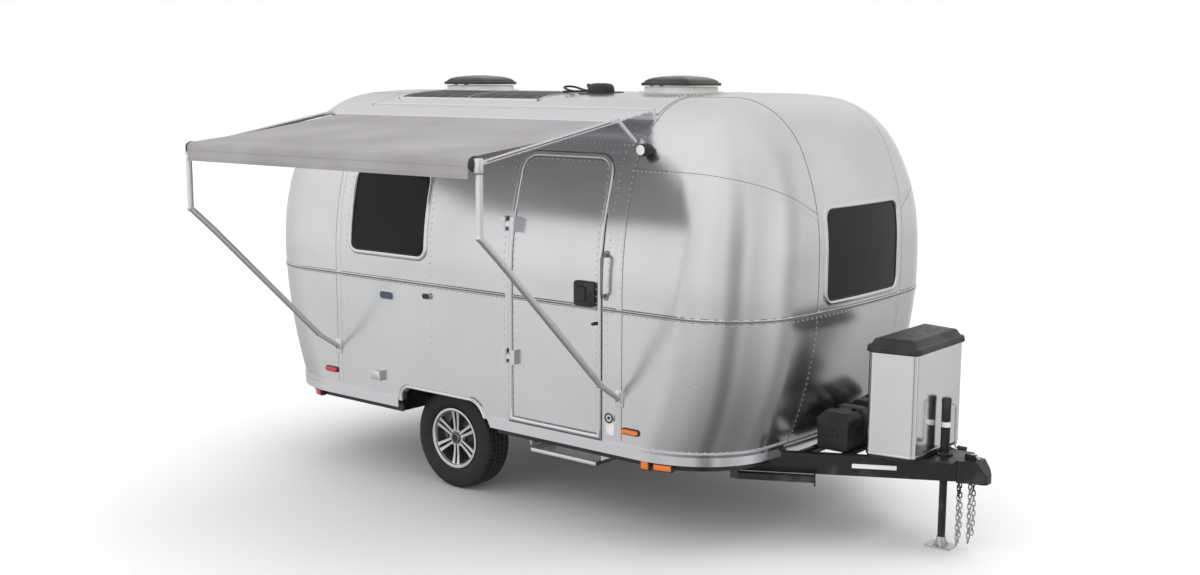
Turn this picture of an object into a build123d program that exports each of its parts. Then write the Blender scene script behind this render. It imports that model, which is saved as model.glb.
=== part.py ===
from build123d import *
import math
import os

# Riveted aluminium travel caravan on one axle, parked on its tongue jack with the side awning out.
# While it is modelled, X is measured forward from the middle of the body, Y to its left and
# Z up from the ground. At export everything moves so that the origin is the towing ball's centre.

# Body: the cross-section of the straight barrel, then the end walls and their rounding
HALF_WIDTH = 1226
WALL = 40                        # whole wall: outer skin, rib and inner skin
BARREL_HALF = 1300               # half length of the middle between the seams of the end caps
STRAIGHT_HALF = 1480             # the walls stay straight a little past those seams
BASE_LEVEL = 610                 # lower edge of the walls above the ground
BELT_LEVEL = 1457
LEAN_LEVEL = 1570                # the side walls start to lean in here
LEAN_RADIUS = 2200
SHOULDER_RADIUS = 640            # where side wall turns into roof
CROWN_RADIUS = 6000
ROOF_LEVEL = 2767
END_X = 2300                     # foremost and rearmost point of the body
END_CROWN = 6500                 # the end walls bulge gently from side to side
TUCK_LEVEL = 1650                # below this an end wall tucks in
TUCK_RADIUS = 2800
END_LEAN_LEVEL = 1800            # above this it leans back
END_LEAN_RADIUS = 1500
NOSE_RADIUS = 550                # rounding between the end wall and the sides and roof

# Running gear
AXLE_X = -300
TYRE_RADIUS = 357
TYRE_WIDTH = 225
TYRE_MID_Y = 968
BEAD_RADIUS = 200
RIM_RADIUS = 214
HUB_LEVEL = TYRE_RADIUS
DRUM_RADIUS = 150
SPINDLE_RADIUS = 20
RUNNING_FIT = 0.06               # radial clearance of a hub on its spindle
BEAM_SIZE = 76
BEAM_X = AXLE_X + 150
BEAM_LEVEL = 440
BEAM_HALF = 755
ARM_THICK = 32
ARM_WIDE = 60

# Wheel openings in the side walls
ARCH_REAR_X = -640
ARCH_FRONT_TOP_X = 95
ARCH_FRONT_FOOT_X = 205
ARCH_TOP = 705
ARCH_REAR_RADIUS = 75
ARCH_FRONT_RADIUS = 130
ARCH_TRIM = 34                   # width of the bright lip round the opening
HOUSING_SHEET = 4
HOUSING_TOP = 795
HOUSING_INNER_Y = 795
HOUSING_MARGIN = 60              # the housing is longer than the opening by this at each end

# Underbody
FLOOR_THICK = 30
BELLY_BOTTOM = 512
BELLY_INSET = WALL               # the belly pan stands back from the skin by this
RAIL_BOTTOM = 556                # bright base rail round the foot of the walls
RAIL_TOP = 628
RAIL_PROUD = 14
RAIL_FLANGE = 14

# Belt moulding
BELT_TALL = 24
BELT_PROUD = 12

# Entrance door, on the right-hand side
DOOR_REAR_X = 385
DOOR_FRONT_X = 1165
DOOR_FOOT = 632
DOOR_TOP = 2395
DOOR_CORNER = 130
DOOR_GAP = 8
DOOR_SKIN = 18                   # the outer part of the leaf, which reaches nearest to the jamb
DOOR_REBATE = 10                 # the inner part stands back by this much more
DOOR_TRIM = 30
DOOR_TRIM_PROUD = 14
HINGE_X = DOOR_REAR_X - 5
HINGE_Y = -1254
HINGE_RADIUS = 9
HINGE_LEVELS = (1064, 1930)
HINGE_TALL = 96
LOCK_X = 1035
LOCK_LEVEL = 1541

# Windows: wall, centre along the wall, centre level, pane width, pane height
WINDOWS = [
    ("right", -780, 1928, 745, 565),
    ("left", -780, 1928, 745, 565),
    ("left", 620, 1928, 745, 565),
    ("front", 0, 1801, 894, 558),
    ("rear", 0, 1801, 894, 558),
]
PANE_CORNER = 62
PANE_THICK = 6
PANE_SET_BACK = 4
FRAME_WIDE = 34
FRAME_PROUD = 12
FRAME_DEPTH = 16                 # how far a frame reaches into the wall

# Street-side hatch and service covers on the left wall
HATCH_X = 1010
HATCH_LEVEL = 940
HATCH_SIZE = (520, 360)
HATCH_GAP = 6
HATCH_HINGE_Y = HALF_WIDTH + 8
HATCH_HINGE_LEVEL = HATCH_LEVEL + HATCH_SIZE[1] / 2 - HATCH_GAP / 2

# Tongue
TONGUE_REAR_X = 1600
RAIL_DEPTH = 127
RAIL_WIDE = 50
TONGUE_BOTTOM = 455
TONGUE_SLOPE = 0.544             # how fast each rail closes on the middle
TONGUE_REF_X = 2380
TONGUE_REF_Y = 440
TONGUE_END_X = 3010
BALL_X = 3118
BALL_LEVEL = 470
BALL_SOCKET_RADIUS = 29.6        # for a ball of 58.7 mm
SOCKET_MOUTH = 22                # straight part of the socket below the ball's centre
COUPLER_TOP = 585
COUPLER_REAR_X = 2940            # its tongue between the rails reaches back to here

# Safety chains: X, Y, number of links
CHAINS = [(2997, -24, 13), (3040, 46, 13)]

# Tongue jack
JACK_X = 2885
JACK_OUTER = 28.6
JACK_BORE = 24.5
JACK_LEG = 24.2
JACK_TOP = 940
JACK_TUBE_FOOT = 415
JACK_LEG_TOP = 585
JACK_LIFT = 330
FOOT_SIZE = (170, 130, 7)

# Gas bottles under their cover, and batteries
COVER_REAR_X = 2525
COVER_FRONT_X = 2835
COVER_REAR_HALF = 367
COVER_FRONT_HALF = 319
COVER_SHEET = 4
COVER_CORNER = 40
COVER_FOOT = 604
COVER_TOP = 1233
LID_RIM = 14
LID_TALL = 88
LID_GAP = 6
LID_HINGE_X = COVER_REAR_X - 26
LID_HINGE_Y = 200
TRAY_FLOOR = 6
BOTTLE_RADIUS = 144
BOTTLE_Y = 160
BOTTLE_TALL = 420
COLLAR_RADIUS = 82
BATTERY_SIZE = (215, 335, 235)
BATTERY_X = 2300
BATTERY_Y = 198

# Entrance step, folded under the wall
STEP_X = 770
STEP_WIDTH = 580
TREAD_DEPTH = 225
TREAD_THICK = 26
STEP_FRONT_Y = -1140
STEP_TREAD_TOP = 446
LINK_ROOT_Y = -1065
LINK_ROOT_Z = 474
LINK_TIP_Y = -905
LINK_TIP_Z = 462
UPPER_STEP_TOP = 508
STEP_PIN = 5

# Stabiliser legs: name, pivot X, pivot Y, foot X, foot Y
STABILISERS = [
    ("front_right", 1880, -790, 2300, -560),
    ("front_left", 1880, 790, 2300, 560),
    ("rear_right", -1180, -800, -1660, -800),
    ("rear_left", -1180, 800, -1660, 800),
]
LEG_LEVEL = 455
LEG_WIDE = 46
LEG_DEEP = 40
LEG_PIN = 8

# Roof
VENTS = [("front", 860), ("rear", -1040)]
VENT_Y = 0
VENT_HOLE = 356
VENT_FLANGE = 440
VENT_CURB_TOP = ROOF_LEVEL + 38
LID_SIZE = 410
LID_DOME = 46
SOLAR_X = -510
SOLAR_LENGTH = 1380
SOLAR_Y = (-700, -230)
SOLAR_PROUD = 5

# Side awning, on the right-hand side
AWNING_HALF = 1270
AWNING_RAIL_Y = -868
AWNING_RAIL_Z = 2655
ROLLER_Y = -2440
ROLLER_Z = 2405
ROLLER_RADIUS = 38
SLAT_END_Y = -1215
SLATS = 8
FABRIC_THICK = 3
ARM_X = 1310
LOWER_ARM = [(-1236, 914), (-1413, 1030), (-2272, 1858), (-2440, 2010), (-2440, 2356)]
RAFTER = [(-1075, 2475), (-1250, 2612), (-2415.6, 2410)]
ARM_BAR = 34
RAFTER_BAR = 26


def on_circle(centre, radius, towards):
    """The point of a circle that lies towards another point."""
    reach = math.dist(centre, towards)
    return tuple(c + radius * (t - c) / reach for c, t in zip(centre, towards))


def arc_points(centre, radius, first, last):
    """First, middle and last point of the short arc between two points of a circle."""
    half = ((first[0] + last[0]) / 2, (first[1] + last[1]) / 2)
    return [first, on_circle(centre, radius, half), last]


def shoulder_centre():
    """Centre of the arc that touches both the leaning side and the crown of the roof."""
    lean = (HALF_WIDTH - LEAN_RADIUS, LEAN_LEVEL)
    crown = (0, ROOF_LEVEL - CROWN_RADIUS)
    from_crown, from_lean = CROWN_RADIUS - SHOULDER_RADIUS, LEAN_RADIUS - SHOULDER_RADIUS
    apart = math.dist(lean, crown)
    along = (from_crown ** 2 - from_lean ** 2 + apart ** 2) / (2 * apart)
    off = math.sqrt(from_crown ** 2 - along ** 2)
    unit = ((lean[0] - crown[0]) / apart, (lean[1] - crown[1]) / apart)
    return (crown[0] + along * unit[0] + off * unit[1], crown[1] + along * unit[1] - off * unit[0])


def section_face(proud):
    """Cross-section of the barrel in Y and level, its skin moved outward by proud."""
    lean, crown = (HALF_WIDTH - LEAN_RADIUS, LEAN_LEVEL), (0, ROOF_LEVEL - CROWN_RADIUS)
    shoulder = shoulder_centre()
    side = HALF_WIDTH + proud
    low_joint = on_circle(lean, LEAN_RADIUS + proud, shoulder)
    high_joint = on_circle(crown, CROWN_RADIUS + proud, shoulder)
    right = [
        [(side, BASE_LEVEL), (side, LEAN_LEVEL)],
        arc_points(lean, LEAN_RADIUS + proud, (side, LEAN_LEVEL), low_joint),
        arc_points(shoulder, SHOULDER_RADIUS + proud, low_joint, high_joint),
    ]
    edges = []
    for mirror in (1, -1):
        for points in right:
            corners = [(0, mirror * y, z) for y, z in points]
            edges.append(Edge.make_line(*corners) if len(corners) == 2 else Edge.make_three_point_arc(*corners))
    top = [(0, high_joint[0], high_joint[1]), (0, 0, ROOF_LEVEL + proud), (0, -high_joint[0], high_joint[1])]
    edges.append(Edge.make_three_point_arc(*top))
    edges.append(Edge.make_line((0, -side, BASE_LEVEL), (0, side, BASE_LEVEL)))
    return Face(Wire(edges))


def end_form(proud):
    """Solid whose front is the end wall: its profile turned about a far upright axis."""
    low, high, rear = BASE_LEVEL - 160, ROOF_LEVEL + 230, -300
    tuck, lean = (END_X - TUCK_RADIUS, TUCK_LEVEL), (END_X - END_LEAN_RADIUS, END_LEAN_LEVEL)
    nose = END_X + proud
    foot = (tuck[0] + math.sqrt((TUCK_RADIUS + proud) ** 2 - (low - TUCK_LEVEL) ** 2), low)
    head = (lean[0] + math.sqrt((END_LEAN_RADIUS + proud) ** 2 - (high - END_LEAN_LEVEL) ** 2), high)
    lower = arc_points(tuck, TUCK_RADIUS + proud, foot, (nose, TUCK_LEVEL))
    upper = arc_points(lean, END_LEAN_RADIUS + proud, (nose, END_LEAN_LEVEL), head)
    edges = [
        Edge.make_line((rear, 0, low), (foot[0], 0, low)),
        Edge.make_three_point_arc(*[(x, 0, z) for x, z in lower]),
        Edge.make_line((nose, 0, TUCK_LEVEL), (nose, 0, END_LEAN_LEVEL)),
        Edge.make_three_point_arc(*[(x, 0, z) for x, z in upper]),
        Edge.make_line((head[0], 0, high), (rear, 0, high)),
        Edge.make_line((rear, 0, high), (rear, 0, low)),
    ]
    axis = Axis((END_X - END_CROWN, 0, 0), (0, 0, 1))
    half_turn = 22
    return Solid.revolve(Face(Wire(edges)).rotate(axis, -half_turn), 2 * half_turn, axis)


def cap_form(proud):
    """Front half of the body: the barrel closed by the end wall, with a large rounding between."""
    block = extrude(section_face(proud), amount=END_X + 150, dir=(1, 0, 0)) & end_form(proud)
    block = block.solids()[0]
    rim = []
    for edge in block.edges():
        box = edge.bounding_box()
        on_end = box.min.X > BARREL_HALF and box.max.Z > BASE_LEVEL + 1
        across_end = box.size.Z < 1 and box.size.Y > HALF_WIDTH
        if on_end and not across_end:
            rim.append(edge)
        elif on_end and box.min.Z > END_LEAN_LEVEL + 100:
            rim.append(edge)
    return fillet(rim, NOSE_RADIUS + proud).solids()[0]


FORMS = {}


def form(kind, proud):
    """One of the body's forms, moved outward by proud: its front, its rear or its straight part."""
    key = (kind, proud)
    if key not in FORMS:
        if kind == "straight":
            length = 2 * STRAIGHT_HALF
            FORMS[key] = extrude(Pos(-STRAIGHT_HALF, 0, 0) * section_face(proud), amount=length, dir=(1, 0, 0))
        elif kind == "front":
            FORMS[key] = cap_form(proud)
        else:
            FORMS[key] = form("front", proud).mirror(Plane.YZ)
    return FORMS[key]


def on_wall(prism, outer, inner, kind="straight"):
    """The part of a prism that lies between two offsets of the skin."""
    return (prism & form(kind, outer)) - form(kind, inner)


def base_face(kind, proud):
    """The body's outline at its base, in front of or behind the middle."""
    return form(kind, proud).faces().sort_by(Axis.Z)[0]


def base_slab(proud, low, high):
    """A level slab with the body's base outline, moved outward by proud."""
    slab = None
    for kind in ("front", "rear"):
        half = extrude(base_face(kind, proud), amount=high - low, dir=(0, 0, 1)).moved(Pos(0, 0, low - BASE_LEVEL))
        slab = half if slab is None else slab + half
    return slab


def side_prism(sketch, side, reach=(650, 1420)):
    """Extrude a sketch drawn in X and level through the left (1) or right (-1) wall."""
    plane = Plane(origin=(0, side * reach[0], 0), x_dir=(1, 0, 0), z_dir=(0, -1, 0))
    return extrude(plane * sketch, amount=-side * (reach[1] - reach[0]))


def end_prism(sketch, end, reach=(1500, 2500)):
    """Extrude a sketch drawn in Y and level through the front (1) or rear (-1) wall."""
    plane = Plane(origin=(end * reach[0], 0, 0), x_dir=(0, 1, 0), z_dir=(1, 0, 0))
    return extrude(plane * sketch, amount=end * (reach[1] - reach[0]))


def window_prism(window, grow):
    """The rounded rectangle of a window, grown on every side, through its wall."""
    wall, along, level, width, height = window
    sketch = Pos(along, level) * RectangleRounded(width + 2 * grow, height + 2 * grow, PANE_CORNER + grow)
    if wall in ("front", "rear"):
        return end_prism(sketch, 1 if wall == "front" else -1)
    return side_prism(sketch, 1 if wall == "left" else -1)


def bar(start, end, wide, deep):
    """A rectangular bar between two points, its deep side as upright as it can be."""
    start, end = Vector(*start), Vector(*end)
    run = end - start
    across = Vector(0, 0, 1).cross(run)
    if across.length < 1e-6:
        across = Vector(0, 1, 0)
    plane = Plane(origin=start, x_dir=across.normalized(), z_dir=run.normalized())
    return extrude(plane * Rectangle(wide, deep), amount=run.length)


def tube(points, radius, bend):
    """A round bar along straight runs joined by arcs."""
    path = FilletPolyline(*points, radius=bend) if len(points) > 2 else Line(*points)
    start = Plane(origin=path @ 0, z_dir=path % 0)
    return sweep(start * Circle(radius), path=path)


def door_prism(inset):
    """The door's outline, smaller by inset, through the right wall."""
    width = DOOR_FRONT_X - DOOR_REAR_X - 2 * inset
    tall = DOOR_TOP - DOOR_FOOT - 2 * inset
    outline = Rectangle(width, tall)
    top = outline.vertices().sort_by(Axis.Y)[-2:]
    outline = fillet(top, DOOR_CORNER - inset)
    middle = Pos((DOOR_REAR_X + DOOR_FRONT_X) / 2, (DOOR_TOP + DOOR_FOOT) / 2)
    return side_prism(middle * outline, -1)


def arch_sketch(grow):
    """The wheel opening in a side wall: upright at the rear, sloping at the front."""
    run = (ARCH_FRONT_FOOT_X - ARCH_FRONT_TOP_X) / (ARCH_TOP - BELLY_BOTTOM)
    foot = BELLY_BOTTOM - 60
    points = [
        (ARCH_REAR_X - grow, foot),
        (ARCH_REAR_X - grow, ARCH_TOP + grow),
        (ARCH_FRONT_TOP_X + grow * 0.7, ARCH_TOP + grow),
        (ARCH_FRONT_FOOT_X + 60 * run + grow * 1.15, foot),
    ]
    outline = make_face(Polyline(*points, close=True))
    upper = outline.vertices().sort_by(Axis.Y)[-2:].sort_by(Axis.X)
    outline = fillet([upper[0]], ARCH_REAR_RADIUS + grow)
    upper = outline.vertices().sort_by(Axis.Y)
    corner = min(upper, key=lambda v: abs(v.X - ARCH_FRONT_TOP_X - grow * 0.7) + abs(v.Y - ARCH_TOP - grow))
    return fillet([corner], ARCH_FRONT_RADIUS + grow)


def hatch_sketch(inset):
    return Pos(HATCH_X, HATCH_LEVEL) * RectangleRounded(
        HATCH_SIZE[0] - 2 * inset, HATCH_SIZE[1] - 2 * inset, 30)


def housing_block(inset):
    """The space round a wheel inside the body, on the right; inset takes off the sheet."""
    rear = ARCH_REAR_X - HOUSING_MARGIN + inset
    front = ARCH_FRONT_FOOT_X + HOUSING_MARGIN - inset
    inner = HOUSING_INNER_Y + inset
    outer = HALF_WIDTH - WALL - 1
    block = Pos((rear + front) / 2, -(inner + outer) / 2, (BELLY_BOTTOM + HOUSING_TOP - inset) / 2) * Box(
        front - rear, outer - inner, HOUSING_TOP - inset - BELLY_BOTTOM)
    tops = block.edges().filter_by(Axis.Y).sort_by(Axis.Z)[-2:]
    return fillet(tops, 120 - inset)


def hatch_hinges():
    """Two hinges along the hatch's top edge: what swings with it, and what stays on the wall."""
    moving, fixed = None, []
    for x in (HATCH_X - 150, HATCH_X + 150):
        for start, up in ((-45, 1), (-15, -1), (15, 1)):
            barrel = Pos(x + start + 15, HATCH_HINGE_Y, HATCH_HINGE_LEVEL) * Rot(0, 90, 0) * Cylinder(7, 29.6)
            plate = Pos(x + start + 15, (HALF_WIDTH + HATCH_HINGE_Y) / 2, HATCH_HINGE_LEVEL + up * 18) * Box(
                29.6, HATCH_HINGE_Y - HALF_WIDTH, 36)
            part = barrel + plate
            if up == 1:
                fixed.append(part)
            else:
                moving = part if moving is None else moving + part
    return moving, fixed


def wall_kind(wall):
    return wall if wall in ("front", "rear") else "straight"


def walls():
    """The barrel and the two end caps, with every opening cut."""
    barrel = Pos(0, 0, 1700) * Box(2 * BARREL_HALF, 3000, 3000)
    centre = (form("straight", 0) & barrel) - form("straight", -WALL)
    cuts = [window_prism(w, FRAME_WIDE / 2) for w in WINDOWS if wall_kind(w[0]) == "straight"]
    cuts += [door_prism(0), side_prism(arch_sketch(0), -1), side_prism(arch_sketch(0), 1)]
    cuts += [side_prism(hatch_sketch(0), 1)]
    cuts += [Pos(x, VENT_Y, ROOF_LEVEL) * Box(VENT_HOLE, VENT_HOLE, 300) for name, x in VENTS]
    for cut in cuts:
        centre = centre - cut
    parts = {"shell_centre": centre}
    for kind, sign in (("front", 1), ("rear", -1)):
        ahead = Pos(sign * (BARREL_HALF + 750), 0, 1700) * Box(1500, 3000, 3000)
        cap = (form(kind, 0) & ahead) - form(kind, -WALL)
        for window in WINDOWS:
            if window[0] == kind:
                cap -= window_prism(window, FRAME_WIDE / 2)
        parts["shell_" + kind] = cap
    return parts


def window_parts():
    frames, panes = [], []
    for window in WINDOWS:
        kind = wall_kind(window[0])
        tube_part = on_wall(window_prism(window, FRAME_WIDE / 2), FRAME_PROUD, -FRAME_DEPTH, kind)
        lip = on_wall(window_prism(window, FRAME_WIDE), FRAME_PROUD, 0, kind)
        frames.append(tube_part + lip - window_prism(window, 0))
        back = -PANE_SET_BACK - PANE_THICK
        panes.append(on_wall(window_prism(window, 0), -PANE_SET_BACK, back, kind))
    return {"window_frames": frames, "window_panes": panes}


def belt_band():
    """The belt moulding right round the body, as its front, straight and rear stretches."""
    stretches = []
    for kind, low, high in (("front", BARREL_HALF, 2500), ("straight", -BARREL_HALF, BARREL_HALF),
                            ("rear", -2500, -BARREL_HALF)):
        slab = Pos((low + high) / 2, 0, BELT_LEVEL) * Box(high - low, 3000, BELT_TALL)
        stretches.append(on_wall(slab, BELT_PROUD, 0, kind))
    return stretches


def mouldings(pockets, spaces):
    belt = belt_band()
    belt[1] -= Pos((DOOR_REAR_X + DOOR_FRONT_X) / 2, -1300, BELT_LEVEL) * Box(
        DOOR_FRONT_X - DOOR_REAR_X + 12, 400, 100)
    rail = base_slab(RAIL_PROUD, RAIL_BOTTOM, BASE_LEVEL) - base_slab(0, RAIL_BOTTOM, BASE_LEVEL)
    rail += base_slab(RAIL_PROUD, BASE_LEVEL - RAIL_FLANGE, BASE_LEVEL) - base_slab(
        -BELLY_INSET, BASE_LEVEL - RAIL_FLANGE, BASE_LEVEL)
    lips = None
    for kind, sign in (("front", 1), ("rear", -1)):
        slab = Pos(sign * 1500, 0, (BASE_LEVEL + RAIL_TOP) / 2) * Box(3000, 3000, RAIL_TOP - BASE_LEVEL)
        lip = on_wall(slab, RAIL_PROUD, 0, kind)
        lips = lip if lips is None else lips + lip
    rail += lips
    for cut in pockets + spaces:
        rail -= cut
    for side in (-1, 1):
        rail -= side_prism(arch_sketch(ARCH_TRIM + 1), side, (500, 1420))
    return belt, rail


def door_parts():
    outer = on_wall(door_prism(DOOR_GAP), 0, -DOOR_SKIN)
    inner = on_wall(door_prism(DOOR_GAP + DOOR_REBATE), -DOOR_SKIN, -WALL)
    leaf = outer + inner
    trim = on_wall(door_prism(2), DOOR_TRIM_PROUD, 0.0) - door_prism(DOOR_TRIM + 2)
    belt = belt_band()[1] & door_prism(DOOR_TRIM + 3)
    knuckles, plates = [], []
    for level in HINGE_LEVELS:
        barrel = Pos(HINGE_X, HINGE_Y, level) * Cylinder(HINGE_RADIUS, HINGE_TALL / 3 - 1)
        leaf_plate = Pos(HINGE_X + 36, HINGE_Y, level) * Box(72, 8, HINGE_TALL / 3 - 1)
        foot = on_wall(side_prism(Pos(HINGE_X + 62, level) * Rectangle(34, HINGE_TALL), -1), 60, 0)
        foot = foot & Pos(HINGE_X + 62, HINGE_Y, level) * Box(34, 8 + 2 * abs(HINGE_Y + 1100), HINGE_TALL)
        foot -= Pos(HINGE_X, HINGE_Y - 104, level) * Box(300, 200, 200)
        plates.append(barrel + leaf_plate + foot - trim)
        for end in (-1, 1):
            knuckle = Pos(HINGE_X, HINGE_Y, level + end * HINGE_TALL / 3) * Cylinder(HINGE_RADIUS, HINGE_TALL / 3)
            arm = Pos(HINGE_X - 16, HINGE_Y + 8, level + end * HINGE_TALL / 3) * Box(
                34, 16, HINGE_TALL / 3)
            post = side_prism(Pos(HINGE_X - 22, level + end * HINGE_TALL / 3) * Rectangle(
                22, HINGE_TALL / 3), -1)
            post = on_wall(post, 70, 0) - Pos(HINGE_X, HINGE_Y - 100, level) * Box(300, 200, 300)
            knuckles.append(knuckle + arm + post)
    lock = on_wall(side_prism(Pos(LOCK_X, LOCK_LEVEL) * RectangleRounded(170, 160, 22), -1), 22, 0)
    paddle = on_wall(side_prism(Pos(LOCK_X - 20, LOCK_LEVEL) * RectangleRounded(78, 96, 14), -1), 34, 21)
    stop = on_wall(side_prism(Pos(1118, 1361) * Circle(11), -1), 42, 0)
    belt -= lock + paddle
    return {"door_leaf": leaf, "door_trim": [trim, belt], "door_hinge_leaves": plates,
            "door_lock": [lock + paddle, stop], "hinge_knuckles": knuckles}


def underbody(pockets):
    """Floor, belly pan and wheel housings; the tongue's rails run into pockets in the belly."""
    floor = base_slab(-WALL - 1, BASE_LEVEL - RAIL_FLANGE, BASE_LEVEL + FLOOR_THICK)
    belly = base_slab(-BELLY_INSET, BELLY_BOTTOM, BASE_LEVEL - RAIL_FLANGE)
    housings, spaces = [], []
    for side in (-1, 1):
        liner = housing_block(0) - housing_block(HOUSING_SHEET)
        space = housing_block(-1)
        if side == 1:
            liner, space = liner.mirror(Plane.XZ), space.mirror(Plane.XZ)
        housings.append(liner)
        spaces.append(space)
        floor -= space
        belly -= space
        belly -= side_prism(arch_sketch(ARCH_TRIM + 1), side, (1000, 1420))
    for pocket in pockets:
        belly -= pocket
    return floor, belly, housings, spaces


def arch_trims():
    trims = []
    for side in (-1, 1):
        lip = side_prism(arch_sketch(ARCH_TRIM), side) - side_prism(arch_sketch(0), side)
        outside = Pos(0, side * (HALF_WIDTH + 7.1), 640) * Box(1400, 14, 400)
        trims.append((lip & outside) - Pos(0, 0, BELLY_BOTTOM - 105) * Box(3000, 3000, 200))
    return trims


def tongue_y(x):
    """Outer face of a tongue rail at a station."""
    return TONGUE_REF_Y - (x - TONGUE_REF_X) * TONGUE_SLOPE


def tongue_parts():
    middle = TONGUE_BOTTOM + RAIL_DEPTH / 2
    across = RAIL_WIDE / 2 * math.sqrt(1 + TONGUE_SLOPE ** 2)
    frame = None
    pockets = []
    for side in (-1, 1):
        ends = [(x, side * (tongue_y(x) - across), middle) for x in (TONGUE_REAR_X, TONGUE_END_X)]
        rail = bar(ends[0], ends[1], RAIL_WIDE, RAIL_DEPTH)
        rail -= Pos(TONGUE_END_X + 200, 0, middle) * Box(400, 900, 300)
        frame = rail if frame is None else frame + rail
        pockets.append(bar(ends[0], ends[1], RAIL_WIDE + 2, RAIL_DEPTH + 2))
    for x, deep in ((2200, 26), (2400, 26), (2560, 26), (2780, 26)):
        half = tongue_y(x) - RAIL_WIDE
        frame += Pos(x, 0, TONGUE_BOTTOM + RAIL_DEPTH - deep / 2) * Box(40, 2 * half, deep)
    plate = Pos(2925, 0, TONGUE_BOTTOM + RAIL_DEPTH - 4) * Box(170, 2 * tongue_y(2840) - 60, 8)
    plate -= Pos(JACK_X, 0, 600) * Cylinder(JACK_OUTER + 0.4, 200)
    frame += plate
    frame -= Pos(JACK_X, 0, 600) * Cylinder(JACK_OUTER + 0.4, 400)
    tray_foot = TONGUE_BOTTOM + RAIL_DEPTH
    tray = cover_block(-COVER_SHEET - 1, tray_foot, COVER_FOOT + 16)
    tray -= cover_block(-COVER_SHEET - 5, tray_foot + TRAY_FLOOR, COVER_FOOT + 20)
    return frame + tray, pockets


def cover_block(grow, low, high):
    """A block with the gas cover's plan, grown by an amount, with round upright corners."""
    plan = make_face(Polyline([(COVER_REAR_X - grow, -COVER_REAR_HALF - grow),
                               (COVER_FRONT_X + grow, -COVER_FRONT_HALF - grow),
                               (COVER_FRONT_X + grow, COVER_FRONT_HALF + grow),
                               (COVER_REAR_X - grow, COVER_REAR_HALF + grow)], close=True))
    body = extrude(Pos(0, 0, low) * plan, amount=high - low)
    return fillet(body.edges().filter_by(Axis.Z), COVER_CORNER + grow)


def coupler():
    """Pressed coupler head with a round socket for the ball, open below."""
    foot = BALL_LEVEL - SOCKET_MOUTH
    nose = BALL_X + 62
    half = tongue_y(TONGUE_END_X) + 8
    outline = make_face(Polyline([(TONGUE_END_X, -half), (BALL_X - 20, -62), (nose - 20, -52), (nose, -30),
                                  (nose, 30), (nose - 20, 52), (BALL_X - 20, 62), (TONGUE_END_X, half)],
                                 close=True))
    body = extrude(Pos(0, 0, foot) * outline, amount=COUPLER_TOP - foot)
    tongue_top = TONGUE_BOTTOM + RAIL_DEPTH - 8.5
    body += Pos((COUPLER_REAR_X + TONGUE_END_X + 10) / 2, 0, (foot + tongue_top) / 2) * Box(
        TONGUE_END_X + 10 - COUPLER_REAR_X, 66, tongue_top - foot)
    slope = Plane(origin=(0, 200, 0), x_dir=(1, 0, 0), z_dir=(0, -1, 0)) * make_face(Polyline(
        [(BALL_X + 5, COUPLER_TOP + 1), (nose + 1, COUPLER_TOP + 1), (nose + 1, BALL_LEVEL + 30)], close=True))
    body -= extrude(slope, amount=400)
    body = fillet(body.edges().filter_by(Axis.Z), 8)
    socket = Pos(BALL_X, 0, BALL_LEVEL - SOCKET_MOUTH / 2) * Cylinder(BALL_SOCKET_RADIUS, SOCKET_MOUTH)
    dome = Pos(BALL_X, 0, BALL_LEVEL) * Sphere(BALL_SOCKET_RADIUS)
    dome &= Pos(BALL_X, 0, BALL_LEVEL + 50) * Box(100, 100, 100)
    latch = Pos(BALL_X - 62, 0, COUPLER_TOP + 14) * Box(70, 26, 28)
    return body - socket - dome + latch


def jack_parts():
    tube_tall = JACK_TOP - JACK_TUBE_FOOT
    outer = Pos(JACK_X, 0, JACK_TUBE_FOOT + tube_tall / 2) * Cylinder(JACK_OUTER, tube_tall)
    bore_tall = tube_tall - 8
    outer -= Pos(JACK_X, 0, JACK_TUBE_FOOT + bore_tall / 2) * Cylinder(JACK_BORE, bore_tall)
    flange_top = TONGUE_BOTTOM + RAIL_DEPTH
    flange = Pos(JACK_X, 0, flange_top + 5) * Cylinder(52, 10)
    flange -= Pos(JACK_X, 0, flange_top) * Cylinder(JACK_OUTER - 1, 60)
    leg = Pos(JACK_X, 0, (JACK_LEG_TOP + FOOT_SIZE[2]) / 2) * Cylinder(
        JACK_LEG, JACK_LEG_TOP - FOOT_SIZE[2])
    foot = Pos(JACK_X, 0, FOOT_SIZE[2] / 2) * Box(*FOOT_SIZE)
    foot = fillet(foot.edges().filter_by(Axis.Z), 18)
    foot += Pos(JACK_X, 0, 35) * Cylinder(30, 56) - Pos(JACK_X, 0, 35) * Cylinder(JACK_LEG, 80)
    crank = tube([(JACK_X + JACK_OUTER + 0.2, 0, 905), (JACK_X + 62, 0, 905), (JACK_X + 66, 0, 640),
                  (JACK_X + 104, 0, 640)], 6, 14)
    grip = Pos(JACK_X + 112, 0, 640) * Rot(0, 90, 0) * Cylinder(14, 56)
    return outer + flange, leg + foot, crank + grip


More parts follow.
